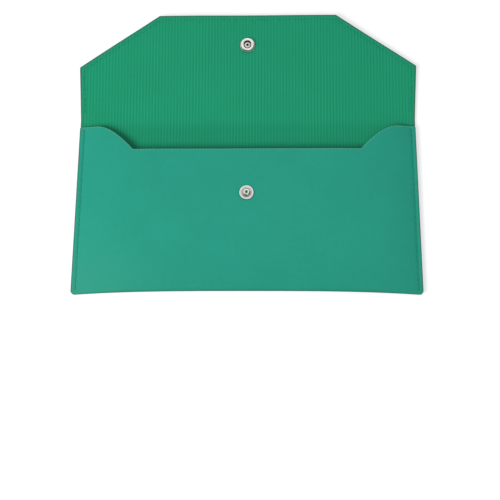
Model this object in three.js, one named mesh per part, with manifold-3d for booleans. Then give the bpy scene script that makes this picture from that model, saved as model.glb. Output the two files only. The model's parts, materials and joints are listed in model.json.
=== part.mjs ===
// Cash envelope wallet, lying open on its back: one lined sheet folded up into a pocket and
// sewn along its sides, with a six-sided flap that shuts over the front and a ring snap.
// Millimetres, +Z up. The origin is the middle of the back panel's outside face, +X runs along
// the fold and +Y points to the flap's tip.

import * as THREE from 'three';
import { mergeVertices } from 'three/addons/utils/BufferGeometryUtils.js';
import Module from 'manifold-3d';

const wasm = await Module();
wasm.setup();

// Driving dimensions of the cut sheet
const BASE_WIDTH = 190; // across the bottom corners
const FOLD_WIDTH = 184.5; // across the fold, the narrowest place
const PANEL_HEIGHT = 97.6; // from the fold line to the bottom corners
const SHOULDER_WIDTH = 187; // across the flap where the slanted edges begin
const SHOULDER_REACH = 30.6; // from the fold line to the flap's shoulders
const TIP_WIDTH = 98.5; // the flap's straight front edge
const TIP_REACH = 60.2; // from the fold line to that edge
const CORNER_RADIUS = 2; // at the two bottom corners

// The mouth of the front panel
const EAR_DROP = 4.3; // from the fold line down to the top of the ears
const SCOOP_DROP = 17.8; // from the fold line down to the straight mouth edge
const SCOOP_WIDTH = 124.7; // length of the straight mouth edge
const EAR_CURVE_WIDTH = 20.2; // across each curve from mouth edge to ear
const EAR_CURVE_CORNER = 12.1; // from the mouth edge's end to where the curve's tangents meet

// Sheet thicknesses and the swell of the pocket
const LEATHER = 0.85;
const GLUE_LINE = 0.05;
const LINING = 0.5;
const POCKET_GAP = 4.75; // clear height inside the pocket at its middle
const SEAM_GAP = 0.2; // between the two linings where they are sewn together
const BOTTOM_GAP_SHARE = 0.38; // the clear height at the bottom fold, as a share of POCKET_GAP
const SWELL_POWER = 6; // how square the swell is
const BOTTOM_BOW = 1.9; // how far the bottom edge draws in at its middle
const BOW_POWER = 3; // how square that bow is
const SPLIT_GAP = 0.3; // between pocket and flap along the fold line
const FOLD_HEIGHT = 3.8; // height of the fold's axis above the table

// Seams
const SEAM_INSET = 2.4; // from the cut edge to the stitch line
const STITCH_LENGTH = 3;
const THREAD_RADIUS = 0.24;
const GROOVE_WIDTH = 0.8;
const GROOVE_DEPTH = 0.55;
const THREAD_SEAT = 0.04; // between the thread and the groove's floor
const STITCH_RISE = 0.3; // how far a stitch lifts between its two holes
const BOBBIN_RISE = 0.02; // the same, for the pocket's thread on the table side
const LINING_GROOVE_DEPTH = 0.275;
const LINING_STITCH_RISE = 0.1; // the same as STITCH_RISE, for the thread in the flap's lining
const SEAM_END_GAP = 1.6; // from a seam's last hole to the cut edge

// Ring snap
const SNAP_REACH = 42.9; // from the fold line to the socket's axis
const SNAP_FIT = 0.1; // clearance between riveted snap parts and what they pass through
const SNAP_SEAT = 0.05; // clearance between a flange and the sheet that it is pressed on
const CAP_RADIUS = 5;
const CAP_HEIGHT = 1.7;
const CAP_WALL = 0.5;
const REST_GAP = 0.02; // between the open flap's cap and the table
const RIVET_RADIUS = 1.2; // cap post and stud post
const RIVET_FLARE = 0.45; // how far a post is spread where it is closed
const RIVET_FLARE_HEIGHT = 0.2;
const SOCKET_FLANGE_RADIUS = 4.1;
const SOCKET_PLATE = 0.35;
const SOCKET_RING_RADIUS = 3.6;
const SOCKET_BORE_RADIUS = 3;
const SOCKET_MOUTH_RADIUS = 2.25;
const SOCKET_HEIGHT = 1.7;
const SOCKET_LIP = 0.35;
const SPRING_WIRE_RADIUS = 0.2;
const SPRING_LEG_OFFSET = 2.1; // from the socket's axis to each leg's centre
const SPRING_END_ANGLE = 0.5; // how far the wire's ends hook round the bore, in radians
const STUD_FLANGE_RADIUS = 3.9;
const STUD_FLANGE = 0.4;
const STUD_NECK_RADIUS = 1.4;
const STUD_HEAD_RADIUS = 1.65;
const STUD_HEIGHT = 1.8;
const STUD_WALL = 0.3;
const POST_FLANGE_RADIUS = 3.6;
const POST_FLAT_RADIUS = 2.16; // where the post's flange begins to slope towards its rim
const POST_FLANGE = 0.45;
const SNAP_RUN = 0.7; // between the socket's rim and the stud's flange when shut

// How finely the curved pieces are divided
const COLUMNS = 18; // across the pocket between the stitch lines
const BACK_ROWS = 3;
const FOLD_ROWS = 6;
const FRONT_ROWS = 12;
const ROUND_STEPS = 24;
const CURVE_STEPS = 10;
const DOME_STEPS = 5;
const STEPS_PER_STITCH = 3;
const THREAD_SIDES = 3;
const SPRING_STEPS = 36;
const SPRING_SIDE_STEPS = 4;
const SPRING_BEND_STEP = 0.4; // radians between the points of the spring's curve
const CUT_MARGIN = 1; // how far a cutter passes the faces that it cuts
const WELD_DISTANCE = 1e-4; // corners closer than this are one corner

// Sizes worked out from the driving dimensions
const SHEET = LEATHER + GLUE_LINE + LINING;
const FOLD_Y = PANEL_HEIGHT / 2;
const BOTTOM_Y = -PANEL_HEIGHT / 2;
const EAR_Y = FOLD_Y - EAR_DROP;
const SEAM_BEND = SHEET + SEAM_GAP / 2; // outer radius of the bottom fold at the side seams
const MIDDLE_BEND = SHEET + (BOTTOM_GAP_SHARE * POCKET_GAP) / 2;
const FLAP_TILT = Math.asin((CAP_HEIGHT + REST_GAP) / SNAP_REACH); // it leans on its cap
const FRONT_HEIGHT = 2 * SHEET + POCKET_GAP; // the front panel's outside face at the stud
const SEAM_TOP = 2 * SHEET + SEAM_GAP; // the same face at the side seams
const THREAD_DEPTH = GROOVE_DEPTH - THREAD_SEAT - THREAD_RADIUS;
const STUD_Y = studPlace();

const LEATHER_FINISH = new THREE.MeshStandardMaterial({ color: 0x30a188, roughness: 0.55 });
const LINING_FINISH = new THREE.MeshStandardMaterial({ color: 0x23966d, roughness: 0.8 });
const THREAD_FINISH = new THREE.MeshStandardMaterial({ color: 0x24876c, roughness: 0.9 });
const NICKEL_FINISH = new THREE.MeshStandardMaterial({
  color: 0xd8d8d4,
  roughness: 0.22,
  metalness: 1,
});

// Solids: geometry to manifold-3d and back, for the cuts

function solidOf(geometry) {
  const bare = geometry.index ? geometry.toNonIndexed() : geometry.clone();
  bare.deleteAttribute('normal');
  bare.deleteAttribute('uv');
  const merged = mergeVertices(bare, WELD_DISTANCE);
  return new wasm.Manifold(new wasm.Mesh({
    numProp: 3,
    vertProperties: new Float32Array(merged.attributes.position.array),
    triVerts: new Uint32Array(merged.index.array),
  }));
}

function geometryOf(solid) {
  const mesh = solid.getMesh();
  const geometry = new THREE.BufferGeometry();
  geometry.setAttribute('position', new THREE.BufferAttribute(mesh.vertProperties, 3));
  geometry.setIndex(new THREE.BufferAttribute(mesh.triVerts, 1));
  geometry.computeVertexNormals();
  return geometry;
}

function cut(geometry, cutters) {
  let solid = solidOf(geometry);
  for (const cutter of cutters) {
    solid = solid.subtract(solidOf(cutter));
  }
  return geometryOf(solid);
}

function part(name, geometry, material) {
  const mesh = new THREE.Mesh(geometry, material);
  mesh.name = name;
  return mesh;
}

// A prism of a flat outline, from one height to another
function prism(shape, low, high) {
  const geometry = new THREE.ExtrudeGeometry(shape, {
    depth: high - low,
    bevelEnabled: false,
    curveSegments: CURVE_STEPS,
  });
  return geometry.translate(0, 0, low);
}

// A turned piece whose profile is given as [radius, height] pairs and whose axis is Z
function turned(profile) {
  const points = profile.map(([radius, height]) => new THREE.Vector2(radius, height));
  return new THREE.LatheGeometry(points, ROUND_STEPS).rotateX(Math.PI / 2);
}

function hole(radius, x, y, low, high) {
  const drill = new THREE.CylinderGeometry(radius, radius, high - low, ROUND_STEPS);
  return drill.rotateX(Math.PI / 2).translate(x, y, (low + high) / 2);
}

// The pocket's shape

function pocketHalfWidth(y) {
  const along = (FOLD_Y - y) / PANEL_HEIGHT;
  const side = THREE.MathUtils.lerp(FOLD_WIDTH, BASE_WIDTH, along) / 2;
  const above = Math.max(y - BOTTOM_Y, 0);
  if (above >= CORNER_RADIUS) {
    return side;
  }
  const short = CORNER_RADIUS - above;
  return side - CORNER_RADIUS + Math.sqrt(CORNER_RADIUS ** 2 - short ** 2);
}

// 1 in the middle of the pocket and 0 at the stitch lines, where across runs from -1 to 1
function swell(across) {
  return 1 - Math.min(Math.abs(across), 1) ** SWELL_POWER;
}

// How far the bottom edge is drawn in
function bottomBow(across) {
  return BOTTOM_BOW * (1 - Math.min(Math.abs(across), 1) ** BOW_POWER);
}

// Clear height between the back's lining and the front's
function pocketGap(across, y) {
  const along = Math.max((y - BOTTOM_Y) / PANEL_HEIGHT, 0);
  const rise = 1 - (1 - BOTTOM_GAP_SHARE) * (1 - along) ** SWELL_POWER;
  return SEAM_GAP + (POCKET_GAP * rise - SEAM_GAP) * swell(across);
}

// One ply of the sheet, folded up into a pocket, between two depths that are measured from the
// sheet's outside face. The face at facing is the box's upper one, so that two plies that face
// each other share the diagonals of their grid and lie the glue line apart everywhere.
function foldedPly(facing, away) {
  const columns = COLUMNS + 2;
  const rows = BACK_ROWS + FOLD_ROWS + FRONT_ROWS;
  const ply = new THREE.BoxGeometry(2, 2, 2, columns, rows, 1);
  const position = ply.attributes.position;
  for (let i = 0; i < position.count; i += 1) {
    const column = Math.round(((position.getX(i) + 1) / 2) * columns);
    const row = Math.round(((1 - position.getY(i)) / 2) * rows);
    const depth = position.getZ(i) > 0 ? facing : away;
    const point = plyPoint(column, row, depth);
    position.setXYZ(i, point.x, point.y, point.z);
  }
  if (facing < away) {
    ply.index.array.reverse();
  }
  return ply;
}

// Where a ply's grid point lies: the back runs down from the fold line, the bottom fold turns
// it through half a circle, and the front runs up again to the ears
function plyPoint(column, row, depth) {
  const across = columnPlace(column);
  const edge = column === 0 || column === COLUMNS + 2;
  const bendGap = pocketGap(across, BOTTOM_Y);
  const bendRadius = SEAM_BEND + (MIDDLE_BEND - SEAM_BEND) * swell(across);
  const bendY = BOTTOM_Y + bendRadius + bottomBow(across);
  const bendRow = row - BACK_ROWS;
  let y;
  let z;
  if (bendRow <= 0) {
    y = THREE.MathUtils.lerp(FOLD_Y - SPLIT_GAP / 2, bendY, row / BACK_ROWS);
    z = depth;
  } else if (bendRow <= FOLD_ROWS) {
    const angle = (Math.PI * bendRow) / FOLD_ROWS;
    const radius = SHEET + bendGap / 2 - depth;
    y = bendY - radius * Math.sin(angle);
    z = SHEET + bendGap / 2 - radius * Math.cos(angle);
  } else {
    y = THREE.MathUtils.lerp(bendY, EAR_Y, (bendRow - FOLD_ROWS) / FRONT_ROWS);
    z = 2 * SHEET + Math.max(pocketGap(across, y), bendGap) - depth;
  }
  const half = pocketHalfWidth(y);
  return new THREE.Vector3(edge ? Math.sign(across) * half : across * (half - SEAM_INSET), y, z);
}

// Columns stand closer together towards the side seams
function columnPlace(column) {
  const even = THREE.MathUtils.clamp((column - 1) / COLUMNS, 0, 1) * 2 - 1;
  return Math.sin((even * Math.PI) / 2);
}

// The opening of the front panel, seen from above
function scoopShape() {
  const scoopY = FOLD_Y - SCOOP_DROP;
  const half = SCOOP_WIDTH / 2;
  const top = FOLD_Y + EAR_DROP;
  const shape = new THREE.Shape();
  shape.moveTo(-half, scoopY);
  shape.lineTo(half, scoopY);
  shape.quadraticCurveTo(half + EAR_CURVE_CORNER, EAR_Y, half + EAR_CURVE_WIDTH, EAR_Y);
  shape.lineTo(half + EAR_CURVE_WIDTH, top);
  shape.lineTo(-half - EAR_CURVE_WIDTH, top);
  shape.lineTo(-half - EAR_CURVE_WIDTH, EAR_Y);
  shape.quadraticCurveTo(-half - EAR_CURVE_CORNER, EAR_Y, -half, scoopY);
  return shape;
}

// The scoop is cut out of the front alone, so its cutter starts between the two linings
function scoopCutter() {
  return prism(scoopShape(), SHEET + SEAM_GAP / 2, FRONT_HEIGHT + CUT_MARGIN);
}

// Seams

// A stitch line: straight runs from corner to corner, with a needle hole at each corner and
// equal stitches between. The thread dips at the holes and lifts between them.
class StitchLine extends THREE.Curve {
  constructor(corners, height, rise) {
    super();
    this.corners = corners;
    this.height = height;
    this.rise = rise;
    this.counts = [];
    for (let i = 1; i < corners.length; i += 1) {
      const length = corners[i].distanceTo(corners[i - 1]);
      this.counts.push(Math.max(1, Math.round(length / STITCH_LENGTH)));
    }
    this.stitches = this.counts.reduce((sum, count) => sum + count, 0);
  }

  getPoint(t) {
    let left = t * this.stitches;
    let run = 0;
    while (run < this.counts.length - 1 && left > this.counts[run]) {
      left -= this.counts[run];
      run += 1;
    }
    const along = left / this.counts[run];
    const flat = this.corners[run].clone().lerp(this.corners[run + 1], along);
    const lift = this.rise * Math.sin(Math.PI * t * this.stitches) ** 2;
    return new THREE.Vector3(flat.x, flat.y, this.height + lift);
  }

  getPointAt(u) {
    return this.getPoint(u);
  }

  getTangentAt(u) {
    return this.getTangent(u);
  }
}

function threadAlong(line) {
  const section = new THREE.Shape();
  for (let i = 0; i < THREAD_SIDES; i += 1) {
    const angle = (i * 2 * Math.PI) / THREAD_SIDES;
    const point = [THREAD_RADIUS * Math.cos(angle), THREAD_RADIUS * Math.sin(angle)];
    if (i === 0) {
      section.moveTo(...point);
    } else {
      section.lineTo(...point);
    }
  }
  return new THREE.ExtrudeGeometry(section, {
    steps: line.stitches * STEPS_PER_STITCH,
    extrudePath: line,
    bevelEnabled: false,
  });
}

// The groove that the thread is pulled into, a band along the same corners
function grooveAlong(corners, low, high) {
  const half = GROOVE_WIDTH / 2;
  const left = offsetLine(corners, half);
  const right = offsetLine(corners, -half).reverse();
  return prism(new THREE.Shape([...left, ...right]), low, high);
}

// A line of corners moved sideways, with mitred corners and square ends
function offsetLine(corners, distance) {
  const normals = [];
  for (let i = 1; i < corners.length; i += 1) {
    const along = corners[i].clone().sub(corners[i - 1]).normalize();
    normals.push(new THREE.Vector2(-along.y, along.x));
  }
  return corners.map((corner, i) => {
    const before = normals[Math.max(i - 1, 0)];
    const after = normals[Math.min(i, normals.length - 1)];
    const mitre = before.clone().add(after).normalize();
    return corner.clone().addScaledVector(mitre, distance / mitre.dot(before));
  });
}

// The corners of a side seam, from the bottom fold up to the ear. Side is -1 or 1.
function sideSeam(side) {
  const ends = [BOTTOM_Y + SEAM_BEND + SEAM_END_GAP / 2, EAR_Y - SEAM_END_GAP];
  return ends.map((y) => new THREE.Vector2(side * (pocketHalfWidth(y) - SEAM_INSET), y));
}

function pocketGrooves() {
  return [-1, 1].flatMap((side) => [
    grooveAlong(sideSeam(side), SEAM_TOP - GROOVE_DEPTH, SEAM_TOP + CUT_MARGIN),
    grooveAlong(sideSeam(side), -CUT_MARGIN, GROOVE_DEPTH),
  ]);
}

// The stud stands where the socket's axis meets the front panel when the flap is shut. The
// socket's rim then keeps SNAP_RUN from the stud's flange.
function studPlace() {
  const reach = SNAP_REACH - FOLD_HEIGHT * Math.sin(FLAP_TILT);
  const below = FOLD_HEIGHT * Math.cos(FLAP_TILT) - SHEET - SOCKET_HEIGHT;
  const rimHeight = FRONT_HEIGHT + STUD_FLANGE + SNAP_RUN;
  const radius = Math.hypot(reach, below);
  const lean = Math.asin((rimHeight - FOLD_HEIGHT) / radius) - Math.atan2(below, reach);
  return FOLD_Y - reach * Math.cos(lean) + below * Math.sin(lean);
}

// Pocket parts

// The post's hole goes through the front alone
function postHole() {
  const low = SHEET + CUT_MARGIN;
  return hole(RIVET_RADIUS + SNAP_FIT, 0, STUD_Y, low, FRONT_HEIGHT + CUT_MARGIN);
}

function pocketLeather() {
  return cut(foldedPly(LEATHER, 0), [scoopCutter(), postHole(), ...pocketGrooves()]);
}

function pocketLining() {
  return cut(foldedPly(LEATHER + GLUE_LINE, SHEET), [scoopCutter(), postHole()]);
}

function sideSeamThread(side) {
  const line = new StitchLine(sideSeam(side), SEAM_TOP - THREAD_DEPTH, STITCH_RISE);
  return threadAlong(line);
}

function sideSeamBobbinThread(side) {
  return threadAlong(new StitchLine(sideSeam(side), THREAD_DEPTH, -BOBBIN_RISE));
}

// The stud: a flange on the front panel with a hollow ball-ended post
function snapStud() {
  const bore = RIVET_RADIUS;
  const low = SNAP_SEAT;
  const neckTop = STUD_HEIGHT - STUD_HEAD_RADIUS / 2;
  return turned([
    [bore + SNAP_FIT, low],
    [STUD_FLANGE_RADIUS - STUD_WALL, low],
    [STUD_FLANGE_RADIUS, low + STUD_FLANGE / 2],
    [STUD_FLANGE_RADIUS - STUD_WALL, STUD_FLANGE],
    [STUD_NECK_RADIUS + 2 * STUD_WALL, STUD_FLANGE],
    [STUD_NECK_RADIUS + SNAP_FIT, 2 * STUD_FLANGE],
    [STUD_NECK_RADIUS + SNAP_FIT, neckTop - STUD_WALL],
    [STUD_HEAD_RADIUS, neckTop],
    [STUD_HEAD_RADIUS, STUD_HEIGHT - STUD_WALL],
    [STUD_NECK_RADIUS, STUD_HEIGHT],
    [bore - STUD_WALL, STUD_HEIGHT],
    [bore - 2 * STUD_WALL, STUD_HEIGHT - STUD_WALL],
    [bore + SNAP_FIT, STUD_HEIGHT - STUD_WALL],
    [bore + SNAP_FIT, low],
  ]).translate(0, STUD_Y, FRONT_HEIGHT);
}

// The post that holds the stud: a domed flange on the lining inside the pocket, and a tube
// through the front panel into the stud
function snapPost() {
  const top = SHEET + STUD_HEIGHT - 2 * STUD_WALL - SNAP_FIT;
  return turned([
    [0, -POST_FLANGE],
    [POST_FLAT_RADIUS, -POST_FLANGE],
    [POST_FLANGE_RADIUS, -POST_FLANGE / 2],
    [POST_FLANGE_RADIUS, -SNAP_SEAT],
    [RIVET_RADIUS, -SNAP_SEAT],
    [RIVET_RADIUS, top - STUD_WALL],
    [RIVET_RADIUS - STUD_WALL, top],
    [RIVET_RADIUS - 2 * STUD_WALL, top - STUD_WALL],
    [0, top - STUD_WALL],
  ]).translate(0, STUD_Y, FRONT_HEIGHT - SHEET);
}

// Flap parts, in the flap's own frame: its fold line lies on X and its outside face on Z = 0

function flapOutline(inset) {
  const corners = [
    new THREE.Vector2(FOLD_WIDTH / 2, SPLIT_GAP / 2),
    new THREE.Vector2(SHOULDER_WIDTH / 2, SHOULDER_REACH),
    new THREE.Vector2(TIP_WIDTH / 2, TIP_REACH),
    new THREE.Vector2(-TIP_WIDTH / 2, TIP_REACH),
    new THREE.Vector2(-SHOULDER_WIDTH / 2, SHOULDER_REACH),
    new THREE.Vector2(-FOLD_WIDTH / 2, SPLIT_GAP / 2),
  ];
  return offsetLine(corners, inset);
}

// The flap's seam runs inside its five cut edges and stops short of the fold line
function flapSeam() {
  const corners = flapOutline(SEAM_INSET);
  const last = corners.length - 1;
  const short = SEAM_INSET + SEAM_END_GAP;
  const runs = [[0, 1], [last, last - 1]];
  for (const [end, next] of runs) {
    const along = corners[next].clone().sub(corners[end]).normalize();
    corners[end].addScaledVector(along, short);
  }
  return corners;
}

function flapPly(low, high, grooves) {
  const drill = hole(RIVET_RADIUS + SNAP_FIT, 0, SNAP_REACH, -CUT_MARGIN, SHEET + CUT_MARGIN);
  return cut(prism(new THREE.Shape(flapOutline(0)), low, high), [drill, ...grooves]);
}

function flapLeather() {
  return flapPly(0, LEATHER, [grooveAlong(flapSeam(), -CUT_MARGIN, GROOVE_DEPTH)]);
}

function flapLining() {
  const groove = grooveAlong(flapSeam(), SHEET - LINING_GROOVE_DEPTH, SHEET + CUT_MARGIN);
  return flapPly(LEATHER + GLUE_LINE, SHEET, [groove]);
}

function flapSeamThread() {
  return threadAlong(new StitchLine(flapSeam(), THREAD_DEPTH, -STITCH_RISE));
}

// The bobbin thread lies half sunk in the soft lining
function flapBobbinThread() {
  const height = SHEET - LINING_GROOVE_DEPTH + THREAD_SEAT + THREAD_RADIUS;
  return threadAlong(new StitchLine(flapSeam(), height, LINING_STITCH_RISE));
}

// The cap: a pressed dome with a rolled edge on the flap's outside, and its rivet, which
// goes through the flap and is spread inside the socket
function snapCap() {
  const inner = -SNAP_SEAT;
  const dome = [];
  const rise = CAP_HEIGHT - CAP_WALL + inner;
  for (let i = 0; i <= DOME_STEPS; i += 1) {
    const angle = (i / DOME_STEPS) * (Math.PI / 2);
    dome.push([CAP_RADIUS * Math.sin(angle), inner - CAP_WALL - rise * Math.cos(angle)]);
  }
  const top = SHEET + SNAP_SEAT + SOCKET_PLATE + SNAP_FIT;
  return turned([
    ...dome,
    [CAP_RADIUS - CAP_WALL / 2, inner],
    [RIVET_RADIUS, inner],
    [RIVET_RADIUS, top],
    [RIVET_RADIUS + RIVET_FLARE, top],
    [RIVET_RADIUS + RIVET_FLARE, top + RIVET_FLARE_HEIGHT / 2],
    [RIVET_RADIUS, top + RIVET_FLARE_HEIGHT],
    [0, top + RIVET_FLARE_HEIGHT],
  ]).translate(0, SNAP_REACH, 0);
}

// The socket: a flange on the lining with a raised ring whose lip turns in over the spring
function snapSocket() {
  const base = SNAP_SEAT;
  return turned([
    [RIVET_RADIUS + SNAP_FIT, base],
    [SOCKET_FLANGE_RADIUS, base],
    [SOCKET_FLANGE_RADIUS, base + SOCKET_PLATE],
    [SOCKET_RING_RADIUS, base + SOCKET_PLATE],
    [SOCKET_RING_RADIUS, SOCKET_HEIGHT - SOCKET_LIP],
    [SOCKET_RING_RADIUS - SOCKET_LIP, SOCKET_HEIGHT],
    [SOCKET_MOUTH_RADIUS + SOCKET_LIP / 2, SOCKET_HEIGHT],
    [SOCKET_MOUTH_RADIUS, SOCKET_HEIGHT - SOCKET_LIP],
    [SOCKET_BORE_RADIUS, SOCKET_HEIGHT - SOCKET_LIP],
    [SOCKET_BORE_RADIUS, base + SOCKET_PLATE],
    [RIVET_RADIUS + SNAP_FIT, base + SOCKET_PLATE],
    [RIVET_RADIUS + SNAP_FIT, base],
  ]).translate(0, SNAP_REACH, SHEET);
}

// The spring: one wire bent to two straight legs that grip the stud's neck, joined round the
// bore, with hooked ends
class SpringWire extends THREE.Curve {
  constructor() {
    super();
    const bore = SOCKET_BORE_RADIUS - SPRING_WIRE_RADIUS - SNAP_FIT;
    const turn = Math.acos(SPRING_LEG_OFFSET / bore);
    this.points = [];
    this.addArc(bore, -turn - 2 * SPRING_END_ANGLE, -turn);
    this.addArc(bore, turn, Math.PI - turn);
    this.addArc(bore, Math.PI + turn, Math.PI + turn + 2 * SPRING_END_ANGLE);
    this.curve = new THREE.CatmullRomCurve3(this.points, false, 'centripetal');
  }

  addArc(radius, from, to) {
    const steps = Math.ceil((to - from) / SPRING_BEND_STEP);
    for (let i = 0; i <= steps; i += 1) {
      const angle = from + ((to - from) * i) / steps;
      this.points.push(new THREE.Vector3(radius * Math.cos(angle), radius * Math.sin(angle), 0));
    }
  }

  getPoint(t) {
    return this.curve.getPoint(t);
  }
}

function snapSpring() {
  const section = new THREE.Shape();
  section.absarc(0, 0, SPRING_WIRE_RADIUS, 0, 2 * Math.PI);
  const height = SOCKET_HEIGHT - SOCKET_LIP - SPRING_WIRE_RADIUS - SNAP_FIT;
  return new THREE.ExtrudeGeometry(section, {
    steps: SPRING_STEPS,
    curveSegments: SPRING_SIDE_STEPS,
    extrudePath: new SpringWire(),
    bevelEnabled: false,
  }).translate(0, SNAP_REACH, SHEET + height);
}

// Assembly

const pocket = new THREE.Group();
pocket.add(
  part('pocket_leather', pocketLeather(), LEATHER_FINISH),
  part('pocket_lining', pocketLining(), LINING_FINISH),
  part('left_seam_thread', sideSeamThread(-1), THREAD_FINISH),
  part('right_seam_thread', sideSeamThread(1), THREAD_FINISH),
  part('left_seam_bobbin_thread', sideSeamBobbinThread(-1), THREAD_FINISH),
  part('right_seam_bobbin_thread', sideSeamBobbinThread(1), THREAD_FINISH),
  part('snap_stud', snapStud(), NICKEL_FINISH),
  part('snap_post', snapPost(), NICKEL_FINISH),
);

const flap = new THREE.Group();
flap.position.set(0, FOLD_Y, 0);
flap.rotation.x = FLAP_TILT;
flap.add(
  part('flap_leather', flapLeather(), LEATHER_FINISH),
  part('flap_lining', flapLining(), LINING_FINISH),
  part('flap_seam_thread', flapSeamThread(), THREAD_FINISH),
  part('flap_bobbin_thread', flapBobbinThread(), THREAD_FINISH),
  part('snap_cap', snapCap(), NICKEL_FINISH),
  part('snap_socket', snapSocket(), NICKEL_FINISH),
  part('snap_spring', snapSpring(), NICKEL_FINISH),
);

const wallet = new THREE.Group();
wallet.name = 'cash_envelope_wallet';
wallet.add(pocket, flap);

export default wallet;
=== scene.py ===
"""Looks of the cash envelope wallet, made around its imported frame.

The wallet is one sheet of coated leather glued to a ribbed lining. The sheet is cut flat, folded up
into a pocket and sewn along both sides, and its six-sided flap has a seam of its own and one half of
a ring snap. Whatever is cut, ribbed, pressed or sewn is laid out on the flat cut first, and one rule
folds all of it up. Metres throughout, in the frame's own axes: +X along the fold, +Y to the flap's
tip and +Z up.
"""

import json
import logging
import math
from dataclasses import dataclass, field, fields
from enum import Enum
from typing import Any, Callable, Mapping, Sequence, Union

import bpy
import numpy as np
from mathutils import Matrix, Vector
from mathutils.geometry import delaunay_2d_cdt


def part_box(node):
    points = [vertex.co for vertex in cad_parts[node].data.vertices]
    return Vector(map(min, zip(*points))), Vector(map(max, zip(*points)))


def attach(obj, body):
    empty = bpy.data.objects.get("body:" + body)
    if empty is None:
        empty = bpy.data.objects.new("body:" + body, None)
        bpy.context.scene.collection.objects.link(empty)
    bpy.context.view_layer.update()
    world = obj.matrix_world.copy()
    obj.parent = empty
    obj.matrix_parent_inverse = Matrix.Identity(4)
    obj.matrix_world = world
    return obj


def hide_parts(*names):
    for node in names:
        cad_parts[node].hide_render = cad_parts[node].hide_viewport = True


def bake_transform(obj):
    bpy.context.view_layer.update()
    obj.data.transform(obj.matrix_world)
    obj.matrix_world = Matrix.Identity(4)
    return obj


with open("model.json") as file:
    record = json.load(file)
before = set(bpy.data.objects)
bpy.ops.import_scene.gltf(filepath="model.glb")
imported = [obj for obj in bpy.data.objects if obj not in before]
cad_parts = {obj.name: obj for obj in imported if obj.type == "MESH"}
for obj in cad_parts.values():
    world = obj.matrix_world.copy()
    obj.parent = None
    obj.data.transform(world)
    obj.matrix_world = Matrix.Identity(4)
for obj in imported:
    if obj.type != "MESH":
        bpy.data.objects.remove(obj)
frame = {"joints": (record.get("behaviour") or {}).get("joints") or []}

LOG = logging.getLogger("wallet")
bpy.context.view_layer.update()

MM = 0.001
RIB_PITCH = 1.73
"""Distance between two ribs of the lining, in millimetres."""
MERGE_GAP = 1e-9
"""Points of the cut nearer than this become one point, in metres."""
SAME_CORNER = 0.001
"""Corners of a turned section nearer than this become one corner, in millimetres."""

Pair = tuple[float, float]
Triple = tuple[float, float, float]
Point = Pair
Corner = Triple
Colour = Triple
Screen = tuple[int, int, int]


class Face(Enum):
    """The two faces of the folded sheet, by the way that depth grows there."""

    OUTSIDE = -1
    INSIDE = 1


class Value:
    """A node's output that Python's operators turn into Math nodes."""

    def __init__(self, graph: "Graph", socket: bpy.types.NodeSocket) -> None:
        """Keeps the socket and the graph that it belongs to."""
        self.graph = graph
        self.socket = socket

    def __add__(self, other: "Number") -> "Value":
        """Self plus other."""
        return self.graph.maths("ADD", self, other)

    __radd__ = __add__

    def __sub__(self, other: "Number") -> "Value":
        """Self minus other."""
        return self.graph.maths("SUBTRACT", self, other)

    def __rsub__(self, other: "Number") -> "Value":
        """Other minus self."""
        return self.graph.maths("SUBTRACT", other, self)

    def __mul__(self, other: "Number") -> "Value":
        """Self times other."""
        return self.graph.maths("MULTIPLY", self, other)

    __rmul__ = __mul__

    def __truediv__(self, other: "Number") -> "Value":
        """Self divided by other."""
        return self.graph.maths("DIVIDE", self, other)

    def __rtruediv__(self, other: "Number") -> "Value":
        """Other divided by self."""
        return self.graph.maths("DIVIDE", other, self)

    def __pow__(self, other: "Number") -> "Value":
        """Self to the power of other."""
        return self.graph.maths("POWER", self, other)

    def __neg__(self) -> "Value":
        """Self with its sign changed."""
        return self.graph.maths("MULTIPLY", self, -1.0)

    def __abs__(self) -> "Value":
        """Self without its sign."""
        return self.graph.maths("ABSOLUTE", self)


Number = Union[float, np.ndarray, Value]


def _apply(operation: str, plain: Callable[..., Any], *values: Number) -> Number:
    """Works a function out, by a Math node where a node's output is among its values.

    Args:
        operation: The Math node's operation.
        plain: The same function of numbers and arrays.
        values: What it is worked out on.

    Returns:
        A Value if one was given, else a number or an array.
    """
    for value in values:
        if isinstance(value, Value):
            return value.graph.maths(operation, *values)
    return plain(*values)


def least(a: Number, b: Number) -> Number:
    """The smaller of two."""
    return _apply("MINIMUM", np.minimum, a, b)


def most(a: Number, b: Number) -> Number:
    """The larger of two."""
    return _apply("MAXIMUM", np.maximum, a, b)


def share(a: Number) -> Number:
    """A value kept between 0 and 1."""
    return least(most(a, 0.0), 1.0)


def sine(a: Number) -> Number:
    """The sine of an angle in radians."""
    return _apply("SINE", np.sin, a)


def cosine(a: Number) -> Number:
    """The cosine of an angle in radians."""
    return _apply("COSINE", np.cos, a)


def hill(distance: Number, width: Number) -> Number:
    """1 at no distance, falling smoothly to nearly 0 at twice the width."""
    return _apply("EXPONENT", np.exp, (distance / width) ** 2.0 * -1.0)


def eased(a: Number) -> Number:
    """A share from 0 to 1 that starts and ends gently."""
    kept = share(a)
    return kept * kept * (3.0 - kept * 2.0)


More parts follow.
